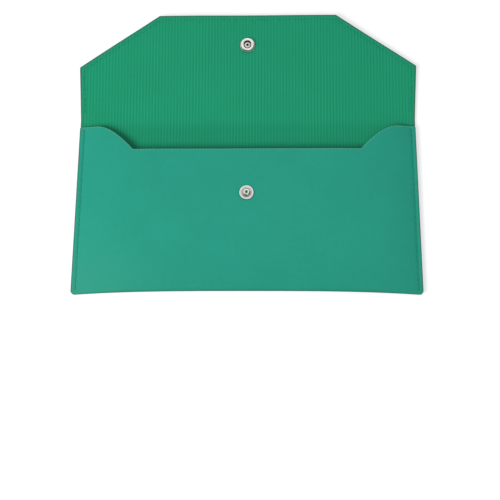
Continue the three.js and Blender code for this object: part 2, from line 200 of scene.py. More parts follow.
class Graph:
    """Adds nodes to one shader or geometry tree."""

    def __init__(self, tree: bpy.types.NodeTree) -> None:
        """Keeps the tree."""
        self.tree = tree

    @staticmethod
    def _socket(sockets: Any, name: str | int) -> bpy.types.NodeSocket:
        """Finds a socket.

        Args:
            sockets: A node's inputs or outputs.
            name: The socket's identifier, name or number.

        Returns:
            The socket.
        """
        for socket in sockets:
            if socket.identifier == name:
                return socket
        return sockets[name]

    def node(
        self, kind: str, inputs: Mapping[str | int, Any] | None = None, **settings: Any
    ) -> bpy.types.Node:
        """Adds one node.

        Args:
            kind: The node's type.
            inputs: Values or plain numbers for its input sockets.
            settings: Its settings, which are made first.

        Returns:
            The node.
        """
        made = self.tree.nodes.new(kind)
        for name, setting in settings.items():
            setattr(made, name, setting)
        for name, value in (inputs or {}).items():
            self.put(self._socket(made.inputs, name), value)
        return made

    def put(self, socket: bpy.types.NodeSocket, value: Any) -> None:
        """Links a Value to an input, or writes a plain value in it.

        Args:
            socket: The input.
            value: What it gets.
        """
        if isinstance(value, Value):
            self.tree.links.new(value.socket, socket)
        elif socket.type == "RGBA":
            socket.default_value = (*value, 1.0)
        else:
            socket.default_value = value

    def read(
        self,
        kind: str,
        output: str | int,
        inputs: Mapping[str | int, Any] | None = None,
        **settings: Any,
    ) -> Value:
        """Adds one node and gives one of its outputs.

        Args:
            kind: The node's type.
            output: The output's identifier, name or number.
            inputs: As in node.
            settings: As in node.

        Returns:
            The output.
        """
        made = self.node(kind, inputs, **settings)
        return Value(self, self._socket(made.outputs, output))

    def maths(self, operation: str, *values: Number) -> Value:
        """Adds a Math node and gives its result."""
        return self.read("ShaderNodeMath", 0, dict(enumerate(values)), operation=operation)

    def vector_maths(self, operation: str, a: Any, b: Any) -> Value:
        """Adds a Vector Math node on two vectors and gives the vector it makes."""
        return self.read("ShaderNodeVectorMath", "Vector", {0: a, 1: b}, operation=operation)

    def vector(self, x: Number = 0.0, y: Number = 0.0, z: Number = 0.0) -> Value:
        """Joins three numbers to a vector."""
        return self.read("ShaderNodeCombineXYZ", 0, {"X": x, "Y": y, "Z": z})

    def parts(self, vector: Value) -> tuple[Value, ...]:
        """The three numbers of a vector."""
        apart = self.node("ShaderNodeSeparateXYZ", {0: vector})
        return tuple(Value(self, socket) for socket in apart.outputs)

    def mixed(self, factor: Number, a: Any, b: Any) -> Value:
        """Mixes two colours.

        Args:
            factor: 0 for the first, 1 for the second.
            a: The first colour.
            b: The second colour.

        Returns:
            The mixed colour.
        """
        inputs = {"Factor_Float": factor, "A_Color": a, "B_Color": b}
        return self.read("ShaderNodeMix", "Result_Color", inputs, data_type="RGBA")

    def attribute(self, name: str) -> Value:
        """Reads, in a material, a number that the mesh holds at each of its points."""
        return self.read("ShaderNodeAttribute", "Fac", attribute_name=name)

    def held(self, name: str) -> Value:
        """Reads, in a geometry tree, a number that the mesh holds at each of its points."""
        kind = "GeometryNodeInputNamedAttribute"
        return self.read(kind, "Attribute", {"Name": name}, data_type="FLOAT")

    def stored(self, geometry: Value, name: str, value: Value, domain: str = "POINT") -> Value:
        """Has geometry hold a number under a name.

        Args:
            geometry: The geometry.
            name: The number's name.
            value: The number.
            domain: What holds it: each point or each instance.

        Returns:
            The geometry with its number.
        """
        inputs = {"Geometry": geometry, "Name": name, "Value": value}
        kind = "GeometryNodeStoreNamedAttribute"
        return self.read(kind, 0, inputs, data_type="FLOAT", domain=domain)

    def ring(self, radius: Value, sides: int) -> Value:
        """A circle's curve."""
        inputs = {"Resolution": sides, "Radius": radius}
        return self.read("GeometryNodeCurvePrimitiveCircle", 0, inputs, mode="RADIUS")

    def swept(self, path: Value, ring: Value) -> Value:
        """A tube with closed ends, where a ring runs along a path."""
        inputs = {"Curve": path, "Profile Curve": ring, "Fill Caps": True}
        return self.read("GeometryNodeCurveToMesh", 0, inputs)


def labels_of(sizes: Any) -> dict[str, str]:
    """The name of a tree's input for each field of a dataclass."""
    return {f.name: f.name.replace("_", " ").capitalize() for f in fields(sizes)}


class Recipe:
    """A Geometry Nodes tree with named inputs, which ends by dressing plain geometry."""

    GEOMETRY = "Geometry"
    MATERIAL = "Material"

    def __init__(self, name: str, sizes: Any) -> None:
        """Makes the tree and its sockets.

        Args:
            name: The tree's name.
            sizes: The dataclass whose fields are its inputs, all of them numbers.
        """
        self.tree = bpy.data.node_groups.new(name, "GeometryNodeTree")
        self.graph = Graph(self.tree)
        self._add_socket(self.GEOMETRY, "Geometry")
        for label in labels_of(sizes).values():
            self._add_socket(label, "Float")
        self._add_socket(self.MATERIAL, "Material")
        self._add_socket(self.GEOMETRY, "Geometry", "OUTPUT")
        self.start = self.graph.node("NodeGroupInput")

    def _add_socket(self, name: str, kind: str, way: str = "INPUT") -> None:
        """Gives the tree one input or output."""
        self.tree.interface.new_socket(name, in_out=way, socket_type=f"NodeSocket{kind}")

    def given(self, name: str) -> Value:
        """Reads one of the tree's inputs."""
        return Value(self.graph, self.start.outputs[name])

    def geometry(self) -> Value:
        """The geometry that comes in."""
        return self.given(self.GEOMETRY)

    def end(self, geometry: Value) -> None:
        """Closes the tree.

        Args:
            geometry: What is made so far.
        """
        plain = self.graph.read("GeometryNodeRealizeInstances", 0, {"Geometry": geometry})
        inputs = {"Geometry": plain, "Material": self.given(self.MATERIAL)}
        dressed = self.graph.read("GeometryNodeSetMaterial", 0, inputs)
        self.graph.node("NodeGroupOutput", {0: dressed})

    def put_on(
        self, piece: bpy.types.Object, material: bpy.types.Material, sizes: Any
    ) -> None:
        """Adds the tree to a piece and sets its inputs by their identifiers.

        Args:
            piece: The object that gets the modifier.
            material: What the result is dressed in.
            sizes: A dataclass with a number for each named input.
        """
        numbers = {label: float(getattr(sizes, name)) for name, label in labels_of(sizes).items()}
        modifier = piece.modifiers.new(self.tree.name, "NODES")
        modifier.node_group = self.tree
        for item in self.tree.interface.items_tree:
            if item.in_out != "INPUT":
                continue
            if item.name == self.MATERIAL:
                modifier[item.identifier] = material
            elif item.name in numbers:
                modifier[item.identifier] = numbers[item.name]


def new_piece(name: str, mesh: bpy.types.Mesh) -> bpy.types.Object:
    """Puts a mesh in the scene.

    Args:
        name: The piece's name.
        mesh: Its mesh, with its place in it.

    Returns:
        The object, at the origin.
    """
    mesh.name = name
    piece = bpy.data.objects.new(name, mesh)
    bpy.context.scene.collection.objects.link(piece)
    return piece


def settle(piece: bpy.types.Object) -> bpy.types.Object:
    """Turns a piece with modifiers into a plain smooth mesh.

    Args:
        piece: The piece, whose modifiers are worked out and removed.

    Returns:
        The same object.
    """
    graph = bpy.context.evaluated_depsgraph_get()
    mesh = bpy.data.meshes.new_from_object(
        piece.evaluated_get(graph), preserve_all_data_layers=True, depsgraph=graph
    )
    piece.modifiers.clear()
    piece.data = mesh
    mesh.name = piece.name
    mesh.shade_smooth()
    return piece


@dataclass(frozen=True)
class FoldRule:
    """How the flat cut is folded up into the wallet.

    A point of the cut has x across it, run along it and depth below its outside face. Run is 0 on
    the fold line, grows to the flap's tip and falls down the back, round the bottom and up the
    front. Every size may be a number or, in a node tree, one of the tree's inputs.
    """

    fold_y: Number
    flap_tilt: Number
    stud_y: Number
    snap_reach: Number
    base_width: Number = 190.0 * MM
    fold_width: Number = 184.5 * MM
    panel_height: Number = 97.6 * MM
    ear_drop: Number = 4.3 * MM
    leather: Number = 0.85 * MM
    glue_line: Number = 0.05 * MM
    lining: Number = 0.5 * MM
    pocket_gap: Number = 4.75 * MM
    seam_gap: Number = 0.2 * MM
    bottom_gap_share: Number = 0.38
    swell_power: Number = 6.0
    bottom_bow: Number = 1.9 * MM
    bow_power: Number = 3.0
    seam_inset: Number = 2.4 * MM
    bend_length: Number = 6.0 * MM
    wave_height: Number = 0.22 * MM
    wave_length: Number = 58.0 * MM
    calm_radius: Number = 13.0 * MM

    # Share of the front over which its unevenness sets in.
    FRONT_WAVE_REACH = 0.2

    @property
    def sheet(self) -> Number:
        """Thickness of leather, glue and lining together."""
        return self.leather + self.glue_line + self.lining

    @property
    def seam_bend(self) -> Number:
        """Outer radius of the bottom fold at the side seams."""
        return self.sheet + self.seam_gap / 2.0

    @property
    def back_length(self) -> Number:
        """Run from the fold line to where the bottom fold begins at the seams."""
        return self.panel_height - self.seam_bend

    @property
    def front_length(self) -> Number:
        """Run from the bottom fold to the top of the ears."""
        return self.back_length - self.ear_drop

    @property
    def whole_length(self) -> Number:
        """Run from the fold line down, round and up to the top of the ears."""
        return self.back_length + self.bend_length + self.front_length

    @property
    def bottom_gap(self) -> Number:
        """The pocket's inner height where its bottom fold begins, in the middle."""
        return self.pocket_gap * self.bottom_gap_share

    def half_width(self, back: Number, front: Number) -> Number:
        """Half the width of the panels between their straight side edges.

        Args:
            back: Share of the back that lies above the point.
            front: Share of the front that lies below it.

        Returns:
            The half width there.
        """
        height = 1.0 - (back * self.back_length - front * self.front_length) / self.panel_height
        return (self.base_width - (self.base_width - self.fold_width) * height) / 2.0

    def swell(self, x: Number, half: Number) -> Number:
        """1 in the middle of the pocket and 0 at its stitch lines and beyond."""
        return 1.0 - least(abs(x) / (half - self.seam_inset), 1.0) ** self.swell_power

    def bend_start(self, x: Number, half: Number) -> Number:
        """Height of the bottom fold's beginning, which is drawn in between the stitch lines."""
        swollen = (self.bottom_gap - self.seam_gap) / 2.0
        bow = 1.0 - least(abs(x) / (half - self.seam_inset), 1.0) ** self.bow_power
        lowest = self.fold_y - self.back_length
        return lowest + swollen * self.swell(x, half) + self.bottom_bow * bow

    def wave(self, x: Number, run: Number, front: Number, full: Number) -> Number:
        """The slight unevenness of sheet that nothing holds flat.

        Args:
            x: Place across the cut.
            run: Place along the cut.
            front: Share of the front that lies below the point.
            full: The swell there.

        Returns:
            How far the sheet stands out or in.
        """
        stud_run = -self.whole_length + (self.fold_y - self.ear_drop - self.stud_y)
        middle = hill(abs(x), self.calm_radius)
        calm_stud = 1.0 - middle * hill(run - stud_run, self.calm_radius)
        calm_ring = 1.0 - middle * hill(run - self.snap_reach, self.calm_radius)
        on_front = share(front / self.FRONT_WAVE_REACH) * full
        on_flap = eased(run / self.calm_radius)
        turn = math.tau / self.wave_length
        slow_lean, slow_start = 0.6, 0.8
        cross_turn, cross_lean, cross_start = -0.7, 1.5, 2.1
        slow = sine(x * turn + run * turn * slow_lean + slow_start)
        cross = sine(x * turn * cross_turn + run * turn * cross_lean + cross_start)
        wave = self.wave_height * (slow + cross) / 2.0
        return wave * (on_front + on_flap) * calm_stud * calm_ring

    def place(self, x: Number, run: Number, depth: Number) -> tuple[Number, Number]:
        """Folds one point of the cut up.

        Args:
            x: Place across the cut, which folding leaves as it is.
            run: Place along the cut.
            depth: Depth below the outside face.

        Returns:
            Its y and z in the frame.
        """
        back = share(run / self.back_length * -1.0)
        turn = share((run + self.back_length) / self.bend_length * -1.0)
        front = share((run + self.back_length + self.bend_length) / self.front_length * -1.0)
        ahead = most(run, 0.0)
        half = self.half_width(back, front)
        full = self.swell(x, half)
        rise = 1.0 - (1.0 - self.bottom_gap_share) * (1.0 - front) ** self.swell_power
        low = self.seam_gap + (self.bottom_gap - self.seam_gap) * full
        gap = self.seam_gap + (self.pocket_gap * rise - self.seam_gap) * full
        bend_y = self.bend_start(x, half)
        radius = self.sheet + low / 2.0 - depth
        angle = turn * math.pi
        on_flap = eased(ahead / self.sheet)
        wave = self.wave(x, run, front, full)
        y = (
            bend_y
            + (self.fold_y - bend_y) * (1.0 - back)
            - radius * sine(angle)
            + (self.fold_y - self.ear_drop - bend_y) * front
            + ahead * cosine(self.flap_tilt)
            - depth * on_flap * sine(self.flap_tilt)
        )
        middle = self.sheet + low / 2.0
        z = middle - radius * cosine(angle) + (gap - low) + ahead * sine(self.flap_tilt) + wave
        return y, z

    def run_on_front(self, x: float, y: float) -> float:
        """The run of a point of the front panel.

        Args:
            x: Its place across.
            y: Its place up the front.

        Returns:
            The run that folding takes to y.
        """
        rounds = 4
        front = 1.0
        for _ in range(rounds):
            bend_y = self.bend_start(x, self.half_width(1.0, front))
            front = float((y - bend_y) / (self.fold_y - self.ear_drop - bend_y))
        return -(self.back_length + self.bend_length + self.front_length * front)


def fold_recipe() -> Recipe:
    """The tree that folds flat geometry up, with every size of the rule as an input."""
    recipe = Recipe("Fold up", FoldRule)
    labels = labels_of(FoldRule)
    rule = FoldRule(**{name: recipe.given(label) for name, label in labels.items()})
    graph = recipe.graph
    x, run, depth = graph.parts(graph.read("GeometryNodeInputPosition", 0))
    y, z = rule.place(x, run, depth)
    folded = {"Geometry": recipe.geometry(), "Position": graph.vector(x, y, z)}
    recipe.end(graph.read("GeometryNodeSetPosition", 0, folded))
    return recipe


def segments_of(loop: np.ndarray, closed: bool) -> tuple[np.ndarray, np.ndarray]:
    """Start and end of each straight part of a line of points."""
    return (loop, np.roll(loop, -1, axis=0)) if closed else (loop[:-1], loop[1:])


def area_of(loop: np.ndarray) -> float:
    """The area inside a closed line, which is negative where the line runs clockwise."""
    after = np.roll(loop, -1, axis=0)
    return float((loop[:, 0] * after[:, 1] - loop[:, 1] * after[:, 0]).sum()) / 2.0


def mirrored(corners: Sequence[Corner]) -> list[Corner]:
    """Corners mirrored from the right to the left, in the other order."""
    return [(-x, run, radius) for x, run, radius in reversed(corners)]


def nearest(points: np.ndarray, loop: np.ndarray, closed: bool) -> tuple[np.ndarray, np.ndarray]:
    """Distance of points from a line of points.

    Args:
        points: The points.
        loop: The line.
        closed: Whether it runs back to its start.

    Returns:
        Each point's distance, and how far along the line its nearest place is.
    """
    no_length = 1e-18
    starts, ends = segments_of(loop, closed)
    best = np.full(len(points), np.inf)
    along = np.zeros(len(points))
    passed = 0.0
    for start, end in zip(starts, ends):
        step = end - start
        length = float(np.hypot(*step))
        t = np.clip((points - start) @ step / max(length * length, no_length), 0.0, 1.0)
        gap = np.hypot(*(points - start - t[:, None] * step).T)
        closer = gap < best
        best[closer] = gap[closer]
        along[closer] = passed + t[closer] * length
        passed += length
    return best, along


def inside(points: np.ndarray, loop: np.ndarray) -> np.ndarray:
    """Whether each point lies inside a closed line.

    Args:
        points: The points.
        loop: The line's corners.

    Returns:
        One truth value for each point.
    """
    found = np.zeros(len(points), bool)
    for (ax, ay), (bx, by) in zip(*segments_of(loop, True)):
        if ay == by:
            continue
        crosses = (points[:, 1] < ay) != (points[:, 1] < by)
        found ^= crosses & (points[:, 0] < (bx - ax) * (points[:, 1] - ay) / (by - ay) + ax)
    return found


def rounded(corners: Sequence[Corner], steps: int = 5, closed: bool = True) -> np.ndarray:
    """An outline with rounded corners.

    Args:
        corners: Place and rounding radius of each corner.
        steps: How many straight parts a rounding has.
        closed: Whether it runs back to its start.

    Returns:
        The outline's points.
    """
    made = []
    for i, (x, y, radius) in enumerate(corners):
        corner = np.array([x, y])
        if radius <= 0.0 or not (closed or 0 < i < len(corners) - 1):
            made.append(corner)
            continue
        before = np.array(corners[i - 1][:2]) - corner
        after = np.array(corners[(i + 1) % len(corners)][:2]) - corner
        before /= np.hypot(*before)
        after /= np.hypot(*after)
        opening = math.acos(float(np.clip(before @ after, -1.0, 1.0)))
        reach = radius / math.tan(opening / 2.0)
        for k in range(steps + 1):
            t = k / steps
            made.append(corner + before * reach * (1.0 - t) ** 2 + after * reach * t**2)
    return np.array(made)


@dataclass(frozen=True)
class CutShape:
    """The outline of the flat cut, its seams and its snap holes."""

    rule: FoldRule
    shoulder_width: float = 187.0 * MM
    shoulder_reach: float = 30.6 * MM
    tip_width: float = 98.5 * MM
    tip_reach: float = 60.2 * MM
    bottom_radius: float = 2.0 * MM
    corner_radius: float = 1.0 * MM
    scoop_drop: float = 17.8 * MM
    scoop_width: float = 124.7 * MM
    scoop_parts: int = 26
    curve_width: float = 20.2 * MM
    curve_corner: float = 12.1 * MM
    curve_parts: int = 12
    bend_parts: int = 18
    bend_margin: float = 0.5 * MM
    fold_margin: float = 0.1 * MM
    seam_end_gap: float = 1.6 * MM
    stitch_length: float = 3.0 * MM
    hole_radius: float = 1.3 * MM

    @property
    def stud_run(self) -> float:
        """The stud's place along the cut."""
        return self.rule.run_on_front(0.0, self.rule.stud_y)

    def notch(self, above: float) -> float:
        """How much the rounded bottom corners take off the side edge, by height above them."""
        short = max(self.bottom_radius - above, 0.0)
        return self.bottom_radius - math.sqrt(max(self.bottom_radius**2 - short**2, 0.0))

    def side(self, run: float) -> float:
        """Half the width of the cut at a place along its panels."""
        rule = self.rule
        back = float(share(-run / rule.back_length))
        turn = float(share((-run - rule.back_length) / rule.bend_length))
        front = float(share((-run - rule.back_length - rule.bend_length) / rule.front_length))
        above = rule.seam_bend * (1.0 - math.sin(math.pi * turn))
        above += rule.back_length * (1.0 - back) + rule.front_length * front
        return rule.half_width(back, front) - self.notch(above)

    def runs_of_side(self) -> list[float]:
        """Places along the panels' side edge, close together where it is folded."""
        rule = self.rule
        low = -rule.back_length - rule.bend_length
        bend = np.linspace(low, -rule.back_length, self.bend_parts + 1)
        near = [bend[0] - self.bend_margin, bend[-1] + self.bend_margin]
        return sorted([-rule.whole_length, *near, *bend, -self.fold_margin])

    def mouth(self) -> list[Corner]:
        """The front's edge from its left ear to its right one, with rounding radii."""
        half = self.scoop_width / 2.0
        ear_y = self.rule.fold_y - self.rule.ear_drop
        low_y = self.rule.fold_y - self.scoop_drop
        curve = []
        for k in range(self.curve_parts + 1):
            t = k / self.curve_parts
            x = half + 2.0 * t * (1.0 - t) * self.curve_corner + t * t * self.curve_width
            y = low_y + (1.0 - (1.0 - t) ** 2) * (ear_y - low_y)
            curve.append((x, self.rule.run_on_front(x, y), self.corner_radius if k == 0 else 0.0))
        across = np.linspace(-half, half, self.scoop_parts + 1)[1:-1]
        middle = [(x, self.rule.run_on_front(x, low_y), 0.0) for x in across]
        return mirrored(curve) + middle + curve

    def ear(self) -> Corner:
        """The right ear's outer corner, with its rounding radius."""
        low = -self.rule.whole_length
        return self.side(low), low, self.corner_radius

    def flap_corners(self) -> list[Corner]:
        """The flap's corners on the right, from the fold line to the tip."""
        return [
            (self.rule.fold_width / 2.0, 0.0, 0.0),
            (self.shoulder_width / 2.0, self.shoulder_reach, self.corner_radius),
            (self.tip_width / 2.0, self.tip_reach, self.corner_radius),
        ]

    def worn_highlit_edges(self) -> tuple[np.ndarray, np.ndarray]:
        """The edges that hands rub, worn lighter and carrying a painted highlight: the pocket's
        mouth with its ears, and the flap's front.
        """
        ear = self.ear()
        mouth = [*mirrored([ear]), *self.mouth(), ear]
        front = self.flap_corners()[1:]
        return rounded(mouth, closed=False), rounded(front + mirrored(front), closed=False)

    def outline(self) -> np.ndarray:
        """The whole cut's outline, anticlockwise from the right end of the fold line."""
        flap = self.flap_corners()
        side = [self.ear()] + [(self.side(run), run, 0.0) for run in self.runs_of_side()[1:]]
        return rounded(flap + mirrored(flap) + mirrored(side) + self.mouth() + side)

    def side_seams(self) -> list[np.ndarray]:
        """The side seams on the front and then on the back, each from the bottom up."""
        rule = self.rule
        low = rule.seam_bend + self.seam_end_gap / 2.0
        high = rule.panel_height - rule.ear_drop - self.seam_end_gap
        start = -rule.back_length - rule.bend_length
        fronts, backs = [], []
        for side in (-1.0, 1.0):
            fronts.append([self._on_seam(side, start - (h - rule.seam_bend)) for h in (low, high)])
            backs.append([self._on_seam(side, h - rule.panel_height) for h in (low, high)])
        return [np.array(seam) for seam in fronts + backs]

    def _on_seam(self, side: float, run: float) -> Point:
        """The point of a side seam at a place along the cut."""
        return side * (self.side(run) - self.rule.seam_inset), run

    def flap_seam(self) -> np.ndarray:
        """The flap's seam, from the right end of the fold line round to the left."""
        right = self.flap_corners()
        line = np.array(right + mirrored(right))[:, :2]
        seam = moved_in(line, self.rule.seam_inset)
        short = self.rule.seam_inset + self.seam_end_gap
        for end, after in ((0, 1), (-1, -2)):
            step = seam[after] - seam[end]
            seam[end] += step * short / np.hypot(*step)
        return seam


@dataclass
class FlatMesh:
    """One ply of the flat cut as a closed mesh with rounded cut edges.

    The fine face shows and carries the detail. The plain face is the one that is glued.
    """

    shape: CutShape
    fine_depth: float
    plain_depth: float
    edge_round: float = 0.16 * MM
    outline_step: float = 0.9 * MM
    fold_zone: float = 4.2 * MM
    fold_step: float = 0.3 * MM
    bend_step: float = 0.4 * MM
    bend_margin: float = 1.0 * MM
    loose_step: float = 2.4 * MM
    hole_steps: int = 24
    seams: list[np.ndarray] = field(default_factory=list)
    points: list[np.ndarray] = field(default_factory=list)
    chains: list[np.ndarray] = field(default_factory=list)
    loops: list[np.ndarray] = field(default_factory=list)

    # Loose points stay this far from the lines of joined ones.
    COLUMN_GAP = 0.03 * MM
    # Points of the outline are at least this far apart.
    POINT_GAP = 0.1 * MM
    # Loose rows stay this share of their step away from the close ones.
    ROW_GAP = 0.4
    # Farther than anything on the cut, in metres.
    FAR = 1.0
    # The cut's pattern coordinates: metres for each unit, and where the fold line's middle lies.
    UV_SPAN = 0.4
    UV_START = (0.5, 0.7)
    UV_NAME = "flat"

    @property
    def inward(self) -> float:
        """The way in depth from the fine face to the plain one."""
        return math.copysign(1.0, self.plain_depth - self.fine_depth)

    def fold_rows(self) -> np.ndarray:
        """Places along the cut where it is bent, close together."""
        rule = self.shape.rule
        hinge = np.arange(-self.fold_zone, self.fold_zone, self.fold_step)
        low = -rule.back_length - rule.bend_length - self.bend_margin
        bend = np.arange(low, -rule.back_length + self.bend_margin, self.bend_step)
        return np.concatenate([bend, hinge])

    def loose_rows(self, step: float) -> np.ndarray:
        """Places along the cut that its close rows leave free.

        Args:
            step: About how far apart they are.

        Returns:
            The places, from the ears to the tip.
        """
        rows = np.arange(-self.shape.rule.whole_length, self.shape.tip_reach, step)
        close = self.fold_rows()
        return rows[np.abs(rows[:, None] - close[None, :]).min(1) > self.ROW_GAP * step]

    def split_outline(self, across: float = 0.0) -> np.ndarray:
        """The outline with points close enough together for its bends.

        Args:
            across: A spacing in x that its points keep to on flat-lying edges, or 0.

        Returns:
            The outline's points.
        """
        rows = self.fold_rows()
        made = []
        for start, end in zip(*segments_of(self.shape.outline(), True)):
            step = end - start
            length = float(np.hypot(*step))
            places = set(np.linspace(0.0, 1.0, math.ceil(length / self.outline_step) + 1)[:-1])
            if abs(step[1]) > abs(step[0]):
                places |= set((rows - start[1]) / step[1])
            elif across:
                low, high = sorted((start[0], end[0]))
                lines = np.arange(math.ceil(low / across), math.floor(high / across) + 1) * across
                places = {0.0} | set((lines - start[0]) / step[0])
            kept = [0.0]
            for t in sorted(places):
                if min(t - kept[-1], 1.0 - t) * length > self.POINT_GAP:
                    kept.append(t)
            made.extend(start + step * t for t in kept)
        return np.array(made)

    def points_of(self, rows: np.ndarray, step: float) -> np.ndarray:
        """Points in rows across the cut.

        Args:
            rows: The rows' places along the cut.
            step: How far apart the points of a row are.

        Returns:
            The points.
        """
        half = self.shape.rule.base_width / 2.0
        x, run = np.meshgrid(np.arange(-half, half, step), rows)
        return np.c_[x.ravel(), run.ravel()]

    def add_rows(self, step: float) -> None:
        """Adds rows of points across the cut, a step apart where it lies flat."""
        for rows in (self.fold_rows(), self.loose_rows(step)):
            self.points.append(self.points_of(rows, step))

    def add_band(self, line: np.ndarray, offsets: Sequence[float], step: float) -> None:
        """Adds points in lines beside an open line.

        Args:
            line: The line's corners.
            offsets: How far to its left each line of points is.
            step: How far apart the points of a line are.
        """
        for offset in offsets:
            for start, end in zip(*segments_of(moved_in(line, offset), False)):
                count = max(2, round(float(np.hypot(*(end - start))) / step))
                t = np.linspace(0.0, 1.0, count)[:, None]
                self.points.append(start + (end - start) * t)

    def add_rings(self, centre: Point, radii: Sequence[float], step: float) -> None:
        """Adds points in circles.

        Args:
            centre: The circles' centre.
            radii: Their radii.
            step: How far apart the points of a circle are.
        """
        for radius in radii:
            angle = np.arange(0.0, math.tau, step / radius)
            ring = np.c_[np.cos(angle), np.sin(angle)] * radius
            self.points.append(ring + np.array(centre))

    def add_columns(self, step: float, rows: np.ndarray, margin: float) -> None:
        """Adds lines of points along the cut, joined so that ribs keep their shape.

        Args:
            step: How far apart the lines are.
            rows: Places along the cut.
            margin: How far they stay inside the outline.
        """
        end_gap = 2.2 * margin
        loop = self.shape.outline()
        places = np.sort(rows)
        last = math.floor(self.shape.rule.base_width / 2.0 / step)
        for x in np.arange(-last, last + 1) * step:
            column = np.c_[np.full(len(places), x), places]
            ends = [(x, run + way * end_gap) for run, way in self._crossings(loop, x)]
            if ends:
                near = np.abs(column[:, 1][:, None] - np.array(ends)[:, 1]).min(1)
                column = np.vstack([column[near > margin], ends])
            column = column[np.argsort(column[:, 1])]
            clear = inside(column, loop) & (nearest(column, loop, True)[0] > margin)
            column[~clear] = np.nan
            self.chains.append(column)

    @staticmethod
    def _crossings(loop: np.ndarray, x: float) -> list[Pair]:
        """Where a line along the cut crosses the outline's flat-lying edges.

        Args:
            loop: The outline.
            x: The line's place across.

        Returns:
            Place along the cut of each crossing, and the way from it to the inside.
        """
        steepest = 4.0
        found = []
        for start, end in zip(*segments_of(loop, True)):
            step = end - start
            if (start[0] < x) != (end[0] < x) and abs(step[1]) < steepest * abs(step[0]):
                t = (x - start[0]) / step[0]
                found.append((start[1] + step[1] * t, math.copysign(1.0, step[0])))
        return found

    def holes(self) -> list[np.ndarray]:
        """The snap's two rivet holes, as closed lines."""
        angle = np.arange(self.hole_steps) * math.tau / self.hole_steps
        ring = np.c_[np.cos(angle), -np.sin(angle)] * self.shape.hole_radius
        centres = [(0.0, self.shape.stud_run), (0.0, self.shape.rule.snap_reach)]
        return [ring + np.array(centre) for centre in centres]

    def _triangles(
        self, loops: list[np.ndarray], points: np.ndarray, chains: list[np.ndarray]
    ) -> tuple[np.ndarray, np.ndarray, np.ndarray]:
        """Triangulates one face of the cut.

        Args:
            loops: The outline and the holes.
            points: Points inside it.
            chains: Lines of points whose parts stay edges.

        Returns:
            The corners' places, the triangles, and the corner that each point of the loops became.
        """
        edges = []
        places = []
        total = 0
        for number, line in enumerate([*loops, *chains]):
            count = len(line)
            last = count if number < len(loops) else count - 1
            edges += [(total + i, total + (i + 1) % count) for i in range(last)]
            places.append(line)
            total += count
        places.append(points)
        flat = [Vector(p) for p in np.vstack(places)]
        corners, _, faces, origins, _, _ = delaunay_2d_cdt(flat, edges, [], 0, MERGE_GAP, True)
        became = np.zeros(len(flat), int)
        for i, sources in enumerate(origins):
            became[sources] = i
        corners = np.array([tuple(c) for c in corners])
        faces = np.array(faces)
        count = len(loops[0])
        order = np.full(len(corners), -1)
        order[became[:count]] = np.arange(count)
        order = order[faces]
        around = ((np.roll(order, -1, axis=1) - order) % count).sum(1)
        middles = corners[faces].mean(1)
        kept = np.where(order.min(1) >= 0, around == count, inside(middles, loops[0]))
        for hole in loops[1:]:
            kept &= ~inside(middles, hole)
        return corners, faces[kept], became[: sum(len(loop) for loop in loops)]

    def build(self, name: str, across: float = 0.0) -> bpy.types.Mesh:
        """Makes the closed mesh, still flat.

        Args:
            name: The mesh's name.
            across: As in split_outline.

        Returns:
            The mesh, with x, run and depth as its places.
        """
        loops = [self.split_outline(across), *self.holes()]
        self.loops = loops
        points = self._clear(np.vstack(self.points))
        if across:
            column = np.round(points[:, 0] / across) * across
            points = points[np.abs(points[:, 0] - column) > self.COLUMN_GAP]
        hole_gap = self.shape.hole_radius + 2.0 * self.edge_round
        for chain in self.chains:
            for hole in loops[1:]:
                chain[np.hypot(*(chain - hole.mean(0)).T) <= hole_gap] = np.nan
        chains = [part for chain in self.chains for part in unbroken(chain)]
        step = 2.0 * self.loose_step
        rows = np.concatenate([self.fold_rows(), self.loose_rows(step)])
        plain = self._clear(self.points_of(rows, step))
        made = SheetBuilder(self)
        made.add_face(*self._triangles(loops, points, chains), fine=True)
        made.add_face(*self._triangles(loops, plain, []), fine=False)
        made.add_walls()
        return made.mesh(name)

    def seam_distances(self, flat: np.ndarray) -> tuple[np.ndarray, np.ndarray]:
        """How far points are from the ply's seams and from their needle holes.

        Args:
            flat: The points on the cut.

        Returns:
            Distance from the nearest seam, and from its nearest hole.
        """
        seam_gap = np.full(len(flat), self.FAR)
        hole_gap = np.full(len(flat), self.FAR)
        for seam in self.seams:
            for start, end in zip(*segments_of(seam, False)):
                gap, along = nearest(flat, np.array([start, end]), False)
                length = float(np.hypot(*(end - start)))
                spacing = length / max(1, int(length / self.shape.stitch_length))
                off = np.abs(along - np.round(along / spacing) * spacing)
                seam_gap = np.minimum(seam_gap, gap)
                hole_gap = np.minimum(hole_gap, np.hypot(gap, off))
        return seam_gap, hole_gap

    def _clear(self, points: np.ndarray) -> np.ndarray:
        """The points that are inside the outline, outside its holes, and not near either."""
        keep = inside(points, self.loops[0])
        for loop in self.loops:
            keep &= nearest(points, loop, True)[0] > 2.0 * self.edge_round
        for hole in self.loops[1:]:
            keep &= ~inside(points, hole)
        return points[keep]


def moved_in(line: np.ndarray, distance: float, closed: bool = False) -> np.ndarray:
    """A line of corners moved to its left, with mitred corners.

    Args:
        line: The corners.
        distance: How far it is moved.
        closed: Whether it runs back to its start.

    Returns:
        The moved corners.
    """
    starts, ends = segments_of(line, closed)
    steps = ends - starts
    normals = np.c_[-steps[:, 1], steps[:, 0]] / np.hypot(*steps.T)[:, None]
    if closed:
        before, after = np.roll(normals, 1, axis=0), normals
    else:
        before = np.vstack([normals[:1], normals])
        after = np.vstack([normals, normals[-1:]])
    mitre = before + after
    mitre /= np.hypot(*mitre.T)[:, None]
    return line + mitre * (distance / (mitre * before).sum(1))[:, None]


